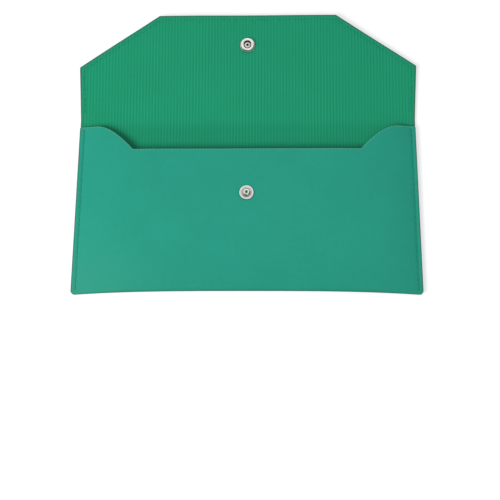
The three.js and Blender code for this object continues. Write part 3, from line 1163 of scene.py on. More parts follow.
def unbroken(chain: np.ndarray) -> list[np.ndarray]:
    """The parts of a line of points between its gaps, which are points that are no number."""
    breaks = np.flatnonzero(np.isnan(chain[:, 0]))
    parts = np.split(chain, breaks)
    return [p[~np.isnan(p[:, 0])] for p in parts if (~np.isnan(p[:, 0])).any()]


class SheetBuilder:
    """Collects the two faces and the cut walls of a ply."""

    ROUND_ANGLES = (math.pi / 6.0, math.pi / 3.0, math.pi / 2.0)

    def __init__(self, sheet: FlatMesh) -> None:
        """Starts with nothing."""
        self.sheet = sheet
        self.inward = sheet.inward
        self.places: list[np.ndarray] = []
        self.spread: list[np.ndarray] = []
        self.fine: list[np.ndarray] = []
        self.cut: list[np.ndarray] = []
        self.faces: list[tuple[int, ...]] = []
        self.rims: dict[bool, np.ndarray] = {}
        self.total = 0

    def _add(
        self, flat: np.ndarray, depth: float, spread: np.ndarray, fine: float, cut: float
    ) -> int:
        """Adds points at one depth.

        Args:
            flat: Their places on the cut.
            depth: Their depth.
            spread: Their places in the pattern, which runs on over the walls.
            fine: 1 on the fine face.
            cut: 1 on the cut walls.

        Returns:
            The number of the first one.
        """
        first = self.total
        self.places.append(np.c_[flat, np.full(len(flat), depth)])
        self.spread.append(spread)
        self.fine.append(np.full(len(flat), fine))
        self.cut.append(np.full(len(flat), cut))
        self.total += len(flat)
        return first

    def add_face(
        self, corners: np.ndarray, faces: np.ndarray, rim: np.ndarray, fine: bool
    ) -> None:
        """Adds one triangulated face, with its rim drawn in for the rounded edge.

        Args:
            corners: Its corners on the cut.
            faces: Its triangles.
            rim: The corner that each point of the outline and holes became.
            fine: Whether it is the fine face.
        """
        sheet = self.sheet
        depth = sheet.fine_depth if fine else sheet.plain_depth
        flat = corners.copy()
        flat[rim] = np.vstack([moved_in(loop, sheet.edge_round, True) for loop in sheet.loops])
        first = self._add(flat, depth, flat, float(fine), 0.0)
        deeper = (self.inward < 0.0) == fine
        ordered = faces if deeper else faces[:, ::-1]
        self.faces += [tuple(face) for face in ordered + first]
        self.rims[fine] = rim + first

    def add_walls(self) -> None:
        """Adds the walls between the two faces, round along both edges."""
        sheet = self.sheet
        sizes = [len(loop) for loop in sheet.loops]
        rings = [self.rims[True]]
        steps = [(a, sheet.fine_depth, self.inward) for a in self.ROUND_ANGLES]
        steps += [(a, sheet.plain_depth, -self.inward) for a in reversed(self.ROUND_ANGLES)]
        radius = sheet.edge_round
        for angle, start, way in steps:
            depth = start + way * radius * (1.0 - math.cos(angle))
            over = radius - abs(depth - sheet.fine_depth)
            flat, spread = (
                np.vstack([moved_in(loop, inset, True) for loop in sheet.loops])
                for inset in (radius * (1.0 - math.sin(angle)), over)
            )
            first = self._add(flat, depth, spread, 0.0, math.sin(angle))
            rings.append(np.arange(len(flat)) + first)
        rings.append(self.rims[False])
        if self.inward < 0.0:
            rings.reverse()
        for low, high in zip(rings, rings[1:]):
            start = 0
            for size in sizes:
                here = start + np.arange(size)
                after = start + (np.arange(size) + 1) % size
                quads = np.c_[low[here], low[after], high[after], high[here]]
                self.faces += [tuple(quad) for quad in quads]
                start += size

    def mesh(self, name: str) -> bpy.types.Mesh:
        """Makes the mesh, with its pattern coordinates and what the finishes read.

        Args:
            name: Its name.

        Returns:
            The closed mesh.
        """
        sheet = self.sheet
        places = np.vstack(self.places)
        flat = places[:, :2]
        made = bpy.data.meshes.new(name)
        made.from_pydata(places.tolist(), [], [tuple(map(int, face)) for face in self.faces])
        seam_gap, hole_gap = sheet.seam_distances(flat)
        snaps = [
            np.hypot(flat[:, 0], flat[:, 1] - run)
            for run in (sheet.shape.stud_run, sheet.shape.rule.snap_reach)
        ]
        worn_and_lit = [nearest(flat, line, False)[0] for line in sheet.shape.worn_highlit_edges()]
        held = {
            "edge_gap": nearest(flat, sheet.shape.outline(), True)[0],
            "worn_highlit_gap": np.minimum(*worn_and_lit),
            "seam_gap": seam_gap,
            "hole_gap": hole_gap,
            "snap_gap": np.minimum(*snaps),
            "fine": np.concatenate(self.fine),
            "cut": np.concatenate(self.cut),
        }
        for key, numbers in held.items():
            attribute = made.attributes.new(key, "FLOAT", "POINT")
            attribute.data.foreach_set("value", numbers.astype(np.float32))
        layer = made.uv_layers.new(name=FlatMesh.UV_NAME)
        corners = np.zeros(len(made.loops), np.int32)
        made.loops.foreach_get("vertex_index", corners)
        pattern = np.vstack(self.spread)[corners] / FlatMesh.UV_SPAN + FlatMesh.UV_START
        layer.data.foreach_set("uv", pattern.astype(np.float32).ravel())
        return made


@dataclass(frozen=True)
class Relief:
    """What is pressed into or raised on a ply's fine face.

    Inwards is 1 where depth grows from the fine face to the plain one, and else -1.
    """

    inwards: float
    rib_pitch: float = RIB_PITCH * MM
    rib_height: float = 0.0
    channel_depth: float = 0.12 * MM
    channel_width: float = 0.42 * MM
    hole_depth: float = 0.22 * MM
    hole_radius: float = 0.34 * MM
    seat_depth: float = 0.05 * MM
    seat_radius: float = 4.4 * MM
    edge_ease: float = 0.45 * MM


def relief_recipe() -> Recipe:
    """The tree that presses seams and snap seats into a flat ply and raises its ribs."""
    recipe = Recipe("Ribs and seams", Relief)
    graph, given = recipe.graph, recipe.given
    x, _, _ = graph.parts(graph.read("GeometryNodeInputPosition", 0))
    channel = given("Channel depth") * hill(graph.held("seam_gap"), given("Channel width"))
    hole = given("Hole depth") * hill(graph.held("hole_gap"), given("Hole radius"))
    seat = given("Seat depth") * eased(2.0 - graph.held("snap_gap") / given("Seat radius"))
    rib = given("Rib height") * cosine(x * math.tau / given("Rib pitch")) / 2.0
    shown = graph.held("fine") * share(graph.held("edge_gap") / given("Edge ease"))
    depth = (channel + hole + seat - rib) * shown * given("Inwards")
    moved = {"Geometry": recipe.geometry(), "Offset": graph.vector(z=depth)}
    recipe.end(graph.read("GeometryNodeSetPosition", 0, moved))
    return recipe


@dataclass(frozen=True)
class Stitch:
    """One stitch of thread, which arches from one hole and dives into the next.

    Way out is 1 where depth grows out of the sheet, and else -1.
    """

    length: float
    way_out: float
    thread_radius: float = 0.2 * MM
    rise: float = 0.04 * MM
    sink: float = 0.3 * MM
    slant: float = math.radians(3.5)
    slant_spread: float = math.radians(1.5)


def stitch_recipe() -> Recipe:
    """The tree that lays stitches along a path of straight runs, one hole to the next."""
    slant_seed, tint_seed = 7, 11
    nearly_whole, nearly_end = 0.0001, 0.999
    recipe = Recipe("Stitches", Stitch)
    graph, given = recipe.graph, recipe.given
    runs = graph.read("GeometryNodeMeshToCurve", 0, {"Mesh": recipe.geometry()})
    spaced = {"Curve": runs, "Length": given("Length")}
    holes = graph.read("GeometryNodeResampleCurve", 0, spaced, mode="LENGTH")
    whole = graph.read("GeometryNodeSplineLength", "Length")
    reach = whole / graph.maths("FLOOR", whole / given("Length") + nearly_whole)
    factor = graph.read("GeometryNodeSplineParameter", "Factor")
    limits = {
        "Min_001": given("Slant") - given("Slant spread"),
        "Max_001": given("Slant") + given("Slant spread"),
        "Seed": slant_seed,
    }
    slant = graph.read("FunctionNodeRandomValue", "Value_001", limits, data_type="FLOAT")
    tangent = {"Vector": graph.read("GeometryNodeInputTangent", 0)}
    along = graph.read("FunctionNodeAlignRotationToVector", 0, tangent, axis="X")
    askew = graph.read("FunctionNodeEulerToRotation", 0, {0: graph.vector(z=slant)})
    turns = {"Rotation": along, "Rotate By": askew}
    laid = graph.read("GeometryNodeInstanceOnPoints", 0, {
        "Points": holes,
        "Selection": graph.maths("LESS_THAN", factor, nearly_end),
        "Instance": one_stitch(recipe),
        "Rotation": graph.read("FunctionNodeRotateRotation", 0, turns, rotation_space="LOCAL"),
        "Scale": graph.vector(reach / given("Length"), 1.0, 1.0),
    })
    seed = {"Seed": tint_seed}
    tint = graph.read("FunctionNodeRandomValue", "Value_001", seed, data_type="FLOAT")
    recipe.end(graph.stored(laid, "tint", tint, "INSTANCE"))
    return recipe


def one_stitch(recipe: Recipe) -> Value:
    """Adds the nodes of a single stitch.

    Args:
        recipe: The tree that they are added to, with its sizes.

    Returns:
        The stitch.
    """
    points, sides = 9, 6
    dive_power = 5.0
    first, spread = 0.08, 0.84
    graph, given = recipe.graph, recipe.given
    ends = {"Start": (0.0, 0.0, 0.0), "End": graph.vector(given("Length"))}
    line = graph.read("GeometryNodeCurvePrimitiveLine", 0, ends, mode="POINTS")
    split = {"Curve": line, "Count": points}
    parts = graph.read("GeometryNodeResampleCurve", 0, split, mode="COUNT")
    factor = graph.read("GeometryNodeSplineParameter", "Factor")
    dive = abs(factor * 2.0 - 1.0) ** dive_power
    height = (given("Rise") * (1.0 - dive) - given("Sink") * dive) * given("Way out")
    place = graph.vector(given("Length") * (first + factor * spread), z=height)
    arched = graph.read("GeometryNodeSetPosition", 0, {"Geometry": parts, "Position": place})
    measured = graph.stored(arched, "run", factor * given("Length"))
    ring = graph.stored(graph.ring(given("Thread radius"), sides), "turn", factor)
    return graph.swept(measured, ring)


@dataclass(frozen=True)
class Wire:
    """Round wire."""

    wire_radius: float = 0.2 * MM


def wire_recipe() -> Recipe:
    """The tree that gives a path of edges a round wire."""
    sides = 12
    recipe = Recipe("Wire", Wire)
    graph = recipe.graph
    path = graph.read("GeometryNodeMeshToCurve", 0, {"Mesh": recipe.geometry()})
    recipe.end(graph.swept(path, graph.ring(recipe.given("Wire radius"), sides)))
    return recipe


def linear(screen: Screen) -> Colour:
    """The scene's colour for a colour that is given as it looks on a screen, 0 to 255."""
    shares = [level / 255.0 for level in screen]
    return tuple(s / 12.92 if s <= 0.04045 else ((s + 0.055) / 1.055) ** 2.4 for s in shares)


class Surface:
    """A material's tree with its main shader."""

    FIBRE_SIZE = 0.12
    FIBRE_TONE = 0.7

    def __init__(self, name: str, plain: Mapping[str, Any]) -> None:
        """Makes the material.

        Args:
            name: The material's name.
            plain: Values that are the same all over.
        """
        self.material = bpy.data.materials.new(name)
        self.material.use_nodes = True
        self.material.node_tree.nodes.clear()
        self.graph = Graph(self.material.node_tree)
        self.shader = self.graph.node("ShaderNodeBsdfPrincipled", plain)
        shown = Value(self.graph, self.shader.outputs[0])
        self.graph.node("ShaderNodeOutputMaterial", {"Surface": shown})

    def dressed(self, inputs: Mapping[str, Any]) -> bpy.types.Material:
        """Gives inputs of the main shader what varies over the piece.

        Args:
            inputs: A Value for each input.

        Returns:
            The finished material.
        """
        for name, value in inputs.items():
            self.graph.put(self.shader.inputs[name], value)
        return self.material

    def pattern(self) -> Value:
        """Places on the flat cut, in millimetres."""
        uv = self.graph.read("ShaderNodeUVMap", "UV", uv_map=FlatMesh.UV_NAME)
        span = FlatMesh.UV_SPAN / MM
        start = (-FlatMesh.UV_START[0] * span, -FlatMesh.UV_START[1] * span, 0.0)
        return self.graph.vector_maths("ADD", self.stretched(uv, (span, span, 0.0)), start)

    def body(self) -> Value:
        """Places on the piece, in millimetres."""
        place = self.graph.read("ShaderNodeTexCoord", "Object")
        return self.stretched(place, (1.0 / MM, 1.0 / MM, 1.0 / MM))

    def stretched(self, place: Value, factors: Triple) -> Value:
        """Places scaled by a factor along each axis."""
        return self.graph.vector_maths("MULTIPLY", place, factors)

    def noise(self, place: Value, size: float, detail: float = 2.0) -> Value:
        """Cloudy noise from about -0.5 to 0.5.

        Args:
            place: Where it is read, in millimetres.
            size: Size of its patches in millimetres.
            detail: How many finer layers it has.

        Returns:
            The noise.
        """
        inputs = {"Vector": place, "Scale": 1.0 / size, "Detail": detail}
        return self.graph.read("ShaderNodeTexNoise", "Fac", inputs) - 0.5

    def cells(self, place: Value, size: float) -> Value:
        """0 on the borders of rounded cells and rising to about 0.5 inside them."""
        inputs = {"Vector": place, "Scale": 1.0 / size}
        return self.graph.read(
            "ShaderNodeTexVoronoi", "Distance", inputs, feature="DISTANCE_TO_EDGE"
        )

    def bump(self, height: Value, strength: float = 1.0) -> Value:
        """The normal for a height in millimetres."""
        inputs = {"Height": height, "Distance": MM, "Strength": strength}
        return self.graph.read("ShaderNodeBump", "Normal", inputs)

    def shaded(self, colour: Any, factor: Number) -> Value:
        """A colour made lighter or darker by a factor."""
        return self.graph.vector_maths("MULTIPLY", self.graph.vector(factor, factor, factor), colour)

    def cut_edge(self, colour: Screen) -> tuple[Value, Value]:
        """The colour of a ply's cut edge, and the fibres that stand out of it."""
        fibres = self.noise(self.body(), self.FIBRE_SIZE)
        return self.shaded(linear(colour), fibres * self.FIBRE_TONE + 1.0), fibres


@dataclass(frozen=True)
class CoatedLeather:
    """Finely pebbled coated leather with a dark, fibrous cut edge.

    Patterns and places on the cut are in millimetres. Widths that are compared with the gaps held by
    the mesh are in metres. Tones are shares by which the colour gets lighter or darker.
    """

    name: str = "coated_leather"
    colour: Screen = (38, 148, 126)
    # The colour of wear, also used for the rubbed edges' painted highlight and the corner's painted
    # sheen.
    worn: Screen = (92, 177, 152)
    cut_colour: Screen = (54, 90, 76)
    roughness: float = 0.58
    specular: float = 0.12
    cloud_size: float = 21.0
    cloud_tone: float = 0.10
    patch_size: float = 3.1
    patch_tone: float = 0.08
    patch_roughness: float = 0.16
    pebble: float = 0.75
    pebble_rise: float = 3.0
    pebble_tone: float = 0.06
    pebble_height: float = 0.016
    pebble_gloss: float = 0.06
    pore_size: float = 0.35
    pore_height: float = 0.008
    plain_tone: float = 0.95
    fibre_height: float = 0.05
    cut_roughness: float = 0.3
    wear_width: float = 0.75 * MM
    wear_patches: float = 1.4
    wear_level: float = 0.35
    wear_tone: float = 0.25
    # The rubbed edges: worn lighter, with a painted highlight.
    worn_highlit_width: float = 0.5 * MM
    worn_highlit_tone: float = 0.55
    line_width: float = 0.45 * MM
    fold_middle: float = 0.0
    # Painted shade: a dark line along the bottom bend, and the leather darker towards it.
    fold_width: float = 1.5
    fold_tone: float = 0.3
    low_shade_width: float = 20.0
    low_shade_tone: float = 0.08
    # A painted sheen on the lower left corner, mixed towards the worn colour.
    sheen_x: float = -95.0
    handled_size: Pair = (40.0, 26.0)
    sheen_tone: float = 0.15
    # A ring of painted shade round the snap's flange.
    snap_edge: float = 4.2 * MM
    snap_line: float = 0.2 * MM
    snap_tone: float = 0.4
    # Painted shade in the needle holes.
    hole_shade_width: float = 0.32 * MM
    hole_shade_tone: float = 0.5

    def build(self) -> bpy.types.Material:
        """Makes the material."""
        surface = Surface(self.name, {"Specular IOR Level": self.specular, "IOR": 1.5})
        graph = surface.graph
        place = surface.pattern()
        large = surface.noise(place, self.cloud_size)
        small = surface.noise(place, self.patch_size, 3.0)
        pebbles = least(surface.cells(place, self.pebble) * self.pebble_rise, 1.0)
        pores = surface.noise(place, self.pore_size, 3.0)
        x, run, _ = graph.parts(place)
        from_fold = run - self.fold_middle
        # Painted shade: darker towards the bottom bend, with a dark line along it.
        low = hill(from_fold, self.low_shade_width) * self.low_shade_tone
        fold = hill(from_fold, self.fold_width) * self.fold_tone + low
        # Painted sheen on the lower left corner.
        wide, high = self.handled_size
        corner_sheen = hill(x - self.sheen_x, wide) * hill(from_fold, high) * self.sheen_tone
        # Painted shade round the snap's flange.
        ring = hill(graph.attribute("snap_gap") - self.snap_edge, self.snap_line) * self.snap_tone
        # Painted shade in the needle holes.
        hole = hill(graph.attribute("hole_gap"), self.hole_shade_width) * self.hole_shade_tone
        tone = large * self.cloud_tone + small * self.patch_tone + pebbles * self.pebble_tone
        tone = (tone + self.plain_tone) * (1.0 - fold) * (1.0 - ring) * (1.0 - hole)
        green = surface.shaded(linear(self.colour), tone)
        # Rubbed edges: worn lighter, with a painted highlight.
        light = hill(graph.attribute("worn_highlit_gap"), self.worn_highlit_width)
        edge = graph.attribute("edge_gap")
        wear = share(hill(edge, self.wear_width) * (small * self.wear_patches + self.wear_level))
        # Wear, the rubbed edges' painted highlight and the corner's painted sheen, mixed towards the
        # worn colour.
        worn = share(wear * self.wear_tone + light * self.worn_highlit_tone + corner_sheen)
        worn_and_lit = graph.mixed(worn, green, linear(self.worn))
        cut = graph.attribute("cut")
        raw, fibres = surface.cut_edge(self.cut_colour)
        line = share(hill(edge, self.line_width) + cut) * (1.0 - light)
        height = pebbles * self.pebble_height + pores * self.pore_height
        rough = self.roughness - pebbles * self.pebble_gloss + small * self.patch_roughness
        return surface.dressed({
            "Base Color": graph.mixed(line, worn_and_lit, raw),
            "Roughness": share(rough + cut * self.cut_roughness),
            "Normal": surface.bump(height + fibres * cut * self.fibre_height),
        })


@dataclass(frozen=True)
class RibbedLining:
    """Lining with fine raised ribs along the cut.

    Lengths and tones are given as in CoatedLeather.
    """

    name: str = "ribbed_lining"
    colour: Screen = (34, 148, 110)
    # Darker rib valleys: the rib pattern, with painted shade in its valleys.
    valley: Screen = (25, 137, 99)
    cut_colour: Screen = (54, 92, 74)
    roughness: float = 0.62
    specular: float = 0.08
    cloud_size: float = 24.0
    cloud_tone: float = 0.09
    patch_size: float = 2.2
    patch_tone: float = 0.07
    patch_height: float = 0.01
    patch_roughness: float = 0.15
    rib_gloss: float = 0.05
    weave_size: float = 0.42
    weave_tone: float = 0.03
    weave_height: float = 0.006
    fibre_height: float = 0.04
    line_width: float = 0.62 * MM
    # Painted shade inside the pocket, from the fold line down.
    pocket_depth: float = 5.4
    pocket_tone: float = 0.085
    # A ring of painted shade round the snap's flange.
    snap_edge: float = 4.3 * MM
    snap_line: float = 0.25 * MM
    snap_tone: float = 0.4

    def build(self) -> bpy.types.Material:
        """Makes the material."""
        surface = Surface(self.name, {"Specular IOR Level": self.specular, "IOR": 1.5})
        graph = surface.graph
        place = surface.pattern()
        x, run, _ = graph.parts(place)
        rib = cosine(x * math.tau / RIB_PITCH) * 0.5 + 0.5
        weft = math.tau / self.weave_size
        weave = sine(run * weft + sine(x * weft)) * 0.5
        large = surface.noise(place, self.cloud_size)
        small = surface.noise(place, self.patch_size, 3.0)
        # Painted shade round the snap's flange.
        ring = hill(graph.attribute("snap_gap") - self.snap_edge, self.snap_line) * self.snap_tone
        # Painted shade inside the pocket.
        pocket = eased(run / -self.pocket_depth) * self.pocket_tone
        tone = large * self.cloud_tone + small * self.patch_tone + weave * self.weave_tone + 1.0
        # Ribs against their valleys, whose darker colour is painted shade.
        cloth = graph.mixed(rib, linear(self.valley), linear(self.colour))
        cloth = surface.shaded(cloth, tone * (1.0 - ring) * (1.0 - pocket))
        cut = graph.attribute("cut")
        dark = share(hill(graph.attribute("edge_gap"), self.line_width) + cut)
        raw, fibres = surface.cut_edge(self.cut_colour)
        height = weave * self.weave_height + small * self.patch_height
        return surface.dressed({
            "Base Color": graph.mixed(dark, cloth, raw),
            "Roughness": share(self.roughness + small * self.patch_roughness - rib * self.rib_gloss),
            "Normal": surface.bump(height + fibres * cut * self.fibre_height),
        })


@dataclass(frozen=True)
class SpunThread:
    """Twisted sewing thread."""

    name: str = "spun_thread"
    colour: Screen = (40, 155, 130)
    dark: Screen = (26, 130, 106)
    roughness: float = 0.66
    specular: float = 0.2
    twist: float = 0.62 * MM
    strands: float = 2.0
    strand_height: float = 0.03
    fuzz_size: float = 0.2
    fuzz_height: float = 0.02
    fuzz_roughness: float = 0.3
    tint_tone: float = 0.12

    def build(self) -> bpy.types.Material:
        """Makes the material."""
        surface = Surface(self.name, {"Specular IOR Level": self.specular, "IOR": 1.5})
        graph = surface.graph
        angle = (graph.attribute("run") / self.twist + graph.attribute("turn")) * math.tau
        strand = sine(angle * self.strands) * 0.5 + 0.5
        fuzz = surface.noise(surface.body(), self.fuzz_size, 3.0)
        tint = graph.attribute("tint") * self.tint_tone + (1.0 - self.tint_tone / 2.0)
        spun = graph.mixed(strand, linear(self.dark), linear(self.colour))
        return surface.dressed({
            "Base Color": surface.shaded(spun, tint),
            "Roughness": share(self.roughness + fuzz * self.fuzz_roughness),
            "Normal": surface.bump(strand * self.strand_height + fuzz * self.fuzz_height),
        })


@dataclass(frozen=True)
class PlatedNickel:
    """Bright plated metal with fine scratches, and dirt and painted shade where the mesh holds some.
    """

    name: str = "plated_nickel"
    colour: Colour = (0.86, 0.87, 0.82)
    dull: Colour = (0.60, 0.61, 0.57)
    # Dark of dirt, and of painted shade and reflection in crevices and hollows.
    dirt: Colour = (0.018, 0.020, 0.018)
    roughness: float = 0.2
    dirt_roughness: float = 0.35
    cloud_size: float = 1.6
    cloud_wear: float = 1.6
    cloud_dirt: float = 0.6
    cloud_roughness: float = 0.08
    cloud_height: float = 0.002
    scratch_size: float = 0.9
    scratch_stretch: Triple = (9.0, 1.2, 3.0)
    scratch_wear: float = 1.2
    scratch_roughness: float = 0.12
    scratch_height: float = 0.003

    def build(self) -> bpy.types.Material:
        """Makes the material."""
        surface = Surface(self.name, {"Metallic": 1.0})
        graph = surface.graph
        place = surface.body()
        cloud = surface.noise(place, self.cloud_size, 3.0)
        across = surface.stretched(place, self.scratch_stretch)
        scratches = surface.noise(across, self.scratch_size, 4.0)
        worn = share(cloud * self.cloud_wear + scratches * self.scratch_wear)
        # Dirt, with painted shade and reflection in the crevices and hollows that the mesh marks.
        dirt = share(graph.attribute("dirt") * (1.0 + cloud * self.cloud_dirt))
        rough = self.roughness + cloud * self.cloud_roughness + scratches * self.scratch_roughness
        height = scratches * self.scratch_height + cloud * self.cloud_height
        return surface.dressed({
            "Base Color": graph.mixed(dirt, graph.mixed(worn, self.colour, self.dull), self.dirt),
            "Roughness": share(rough + dirt * self.dirt_roughness),
            "Normal": surface.bump(height),
        })


@dataclass(frozen=True)
class Finishes:
    """The finishes of the wallet's pieces."""

    leather: bpy.types.Material
    lining: bpy.types.Material
    thread: bpy.types.Material
    nickel: bpy.types.Material


@dataclass
class FoldedSheet:
    """The leather and the lining, each cut flat and folded up."""

    rule: FoldRule
    shape: CutShape
    relief: Recipe
    fold: Recipe
    finishes: Finishes
    bend_margin: float = 3.2 * MM
    seam_offsets: tuple[float, ...] = tuple(step * MM for step in (-0.9, -0.4, 0.0, 0.4, 0.9))
    seam_step: float = 0.45 * MM
    open_step: float = 1.25 * MM
    rib_steps: int = 4
    rib_row: float = 4.0 * MM
    rib_margin: float = 2.5
    ring_radii: tuple[float, ...] = tuple(
        radius * MM for radius in (1.8, 2.6, 3.4, 4.2, 5.0, 5.8, 6.8, 8.0, 9.2)
    )
    ring_step: float = 0.9 * MM

    def build(self) -> list[bpy.types.Object]:
        """Makes both plies."""
        leather = self._leather()
        lining = self._lining()
        return [leather, lining]

    def _leather(self) -> bpy.types.Object:
        """Makes the outer ply."""
        seams = [*self.shape.side_seams(), self.shape.flap_seam()]
        ply = FlatMesh(self.shape, fine_depth=0.0, plain_depth=self.rule.leather, seams=seams)
        ply.add_rows(self.open_step)
        for seam in seams:
            ply.add_band(seam, self.seam_offsets, self.seam_step)
        self._add_seats(ply)
        relief = Relief(ply.inward)
        return self._folded("outer_leather", ply, relief, self.finishes.leather)

    def _lining(self) -> bpy.types.Object:
        """Makes the inner ply.


        Returns:
            The ribbed lining.
        """
        rule = self.rule
        inner = rule.leather + rule.glue_line
        seam = self.shape.flap_seam()
        ply = FlatMesh(self.shape, fine_depth=rule.sheet, plain_depth=inner, seams=[seam])
        relief = Relief(
            ply.inward, rib_height=0.045 * MM, channel_depth=0.07 * MM, hole_depth=0.12 * MM
        )
        step = relief.rib_pitch / self.rib_steps
        rows = np.concatenate([ply.fold_rows(), ply.loose_rows(self.rib_row)])
        ply.add_columns(step, rows, self.rib_margin * ply.edge_round)
        ply.add_band(seam, self.seam_offsets, self.seam_step)
        self._add_seats(ply)
        return self._folded("ribbed_lining", ply, relief, self.finishes.lining, step)

    def _add_seats(self, ply: FlatMesh) -> None:
        """Adds points round the snap's rivets."""
        for run in (self.shape.stud_run, self.rule.snap_reach):
            ply.add_rings((0.0, run), self.ring_radii, self.ring_step)

    def _folded(
        self,
        name: str,
        ply: FlatMesh,
        relief: Relief,
        material: bpy.types.Material,
        across: float = 0.0,
    ) -> bpy.types.Object:
        """Args:
            name: The piece's name.
            ply: Its flat mesh.
            relief: What its fine face carries.
            material: Its finish.
            across: Spacing in x that its outline keeps to, or 0.

        Returns:
            The piece.
        """
        piece = new_piece(name, ply.build(name, across))
        self.relief.put_on(piece, material, relief)
        self.fold.put_on(piece, material, self.rule)
        settle(piece)
        part = "leather" if name == "outer_leather" else "lining"
        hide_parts(f"pocket_{part}", f"flap_{part}")
        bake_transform(piece)
        area = abs(area_of(self.shape.outline()))
        flat = (self.rule.base_width, self.rule.whole_length + self.shape.tip_reach)
        return piece


@dataclass
class Seams:
    """The stitches of the three seams, seen from both sides."""

    rule: FoldRule
    shape: CutShape
    stitches: Recipe
    fold: Recipe
    finishes: Finishes

    def build(self) -> list[bpy.types.Object]:
        """Makes the six threads."""
        left_front, right_front, left_back, right_back = self.shape.side_seams()
        flap = self.shape.flap_seam()
        out, inner = Face.OUTSIDE, Face.INSIDE
        return [
            self._thread("left_seam_stitches", left_front, out, "left_seam_thread", "pocket"),
            self._thread("right_seam_stitches", right_front, out, "right_seam_thread", "pocket"),
            self._thread("left_seam_backs", left_back, out, "left_seam_bobbin_thread", "pocket"),
            self._thread("right_seam_backs", right_back, out, "right_seam_bobbin_thread", "pocket"),
            self._thread("flap_seam_stitches", flap, out, "flap_seam_thread", "flap"),
            self._thread("flap_seam_backs", flap, inner, "flap_bobbin_thread", "flap"),
        ]

    def _thread(
        self, name: str, seam: np.ndarray, face: Face, node: str, body: str
    ) -> bpy.types.Object:
        """Sews one side of a seam.

        Args:
            name: The piece's name.
            seam: The seam's corners on the cut.
            face: The face that it lies on.
            node: The frame's node that it stands for.
            body: The body that it moves with.

        Returns:
            The stitches.
        """
        depth = 0.0 if face is Face.OUTSIDE else self.rule.sheet
        places, edges = [], []
        for start, end in zip(*segments_of(seam, False)):
            edges.append((len(places), len(places) + 1))
            places += [(*start, depth), (*end, depth)]
        path = bpy.data.meshes.new(name)
        path.from_pydata(places, edges, [])
        piece = new_piece(name, path)
        stitch = Stitch(self.shape.stitch_length, float(face.value))
        self.stitches.put_on(piece, self.finishes.thread, stitch)
        self.fold.put_on(piece, self.finishes.thread, self.rule)
        settle(piece)
        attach(piece, body)
        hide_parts(node)
        return piece


def turned(
    name: str, profile: Sequence[tuple[float, ...]], place: Matrix, steps: int = 96
) -> bpy.types.Object:
    """A turned piece.

    Args:
        name: The piece's name.
        profile: Radius, height and rounding of each corner in millimetres, all round its section,
        with how much dirt and painted shade darken the metal there as a fourth number, where any do.
        place: Where its axis stands.
        steps: How many parts a turn has.

    Returns:
        The piece.
    """
    rounding_steps, axis_radius, sharpest = 4, 1e-4, math.radians(38.0)
    section = rounded([corner[:3] for corner in profile], rounding_steps)
    section = section[np.hypot(*(section - np.roll(section, 1, axis=0)).T) > SAME_CORNER]
    if area_of(section) < 0.0:
        section = section[::-1]
    angle = np.arange(steps) * math.tau / steps
    places: list[Triple] = []
    dirt: list[float] = []
    rings: list[list[int]] = []
    for radius, height in section:
        _, corner = min((math.dist(c[:2], (radius, height)), k) for k, c in enumerate(profile))
        # The fourth number: dirt, with painted shade and reflection in crevices and hollows.
        stain_and_shade = profile[corner][3] if len(profile[corner]) > 3 else 0.0
        ring = [(radius * math.cos(a), radius * math.sin(a), height) for a in angle]
        if radius < axis_radius:
            ring = ring[:1]
        first = len(places)
        places += ring
        dirt += [stain_and_shade] * len(ring)
        rings.append([first + i % len(ring) for i in range(steps)])
    faces = []
    for low, high in zip(rings, rings[1:] + rings[:1]):
        for i in range(steps):
            corners = [low[i], low[(i + 1) % steps], high[(i + 1) % steps], high[i]]
            face = tuple(dict.fromkeys(corners))
            if len(face) > 2:
                faces.append(face)
    mesh = bpy.data.meshes.new(name)
    mesh.from_pydata(places, [], faces)
    mesh.transform(place @ Matrix.Scale(MM, 4))
    mesh.attributes.new("dirt", "FLOAT", "POINT").data.foreach_set("value", dirt)
    mesh.shade_smooth()
    mesh.set_sharp_from_angle(angle=sharpest)
    return new_piece(name, mesh)


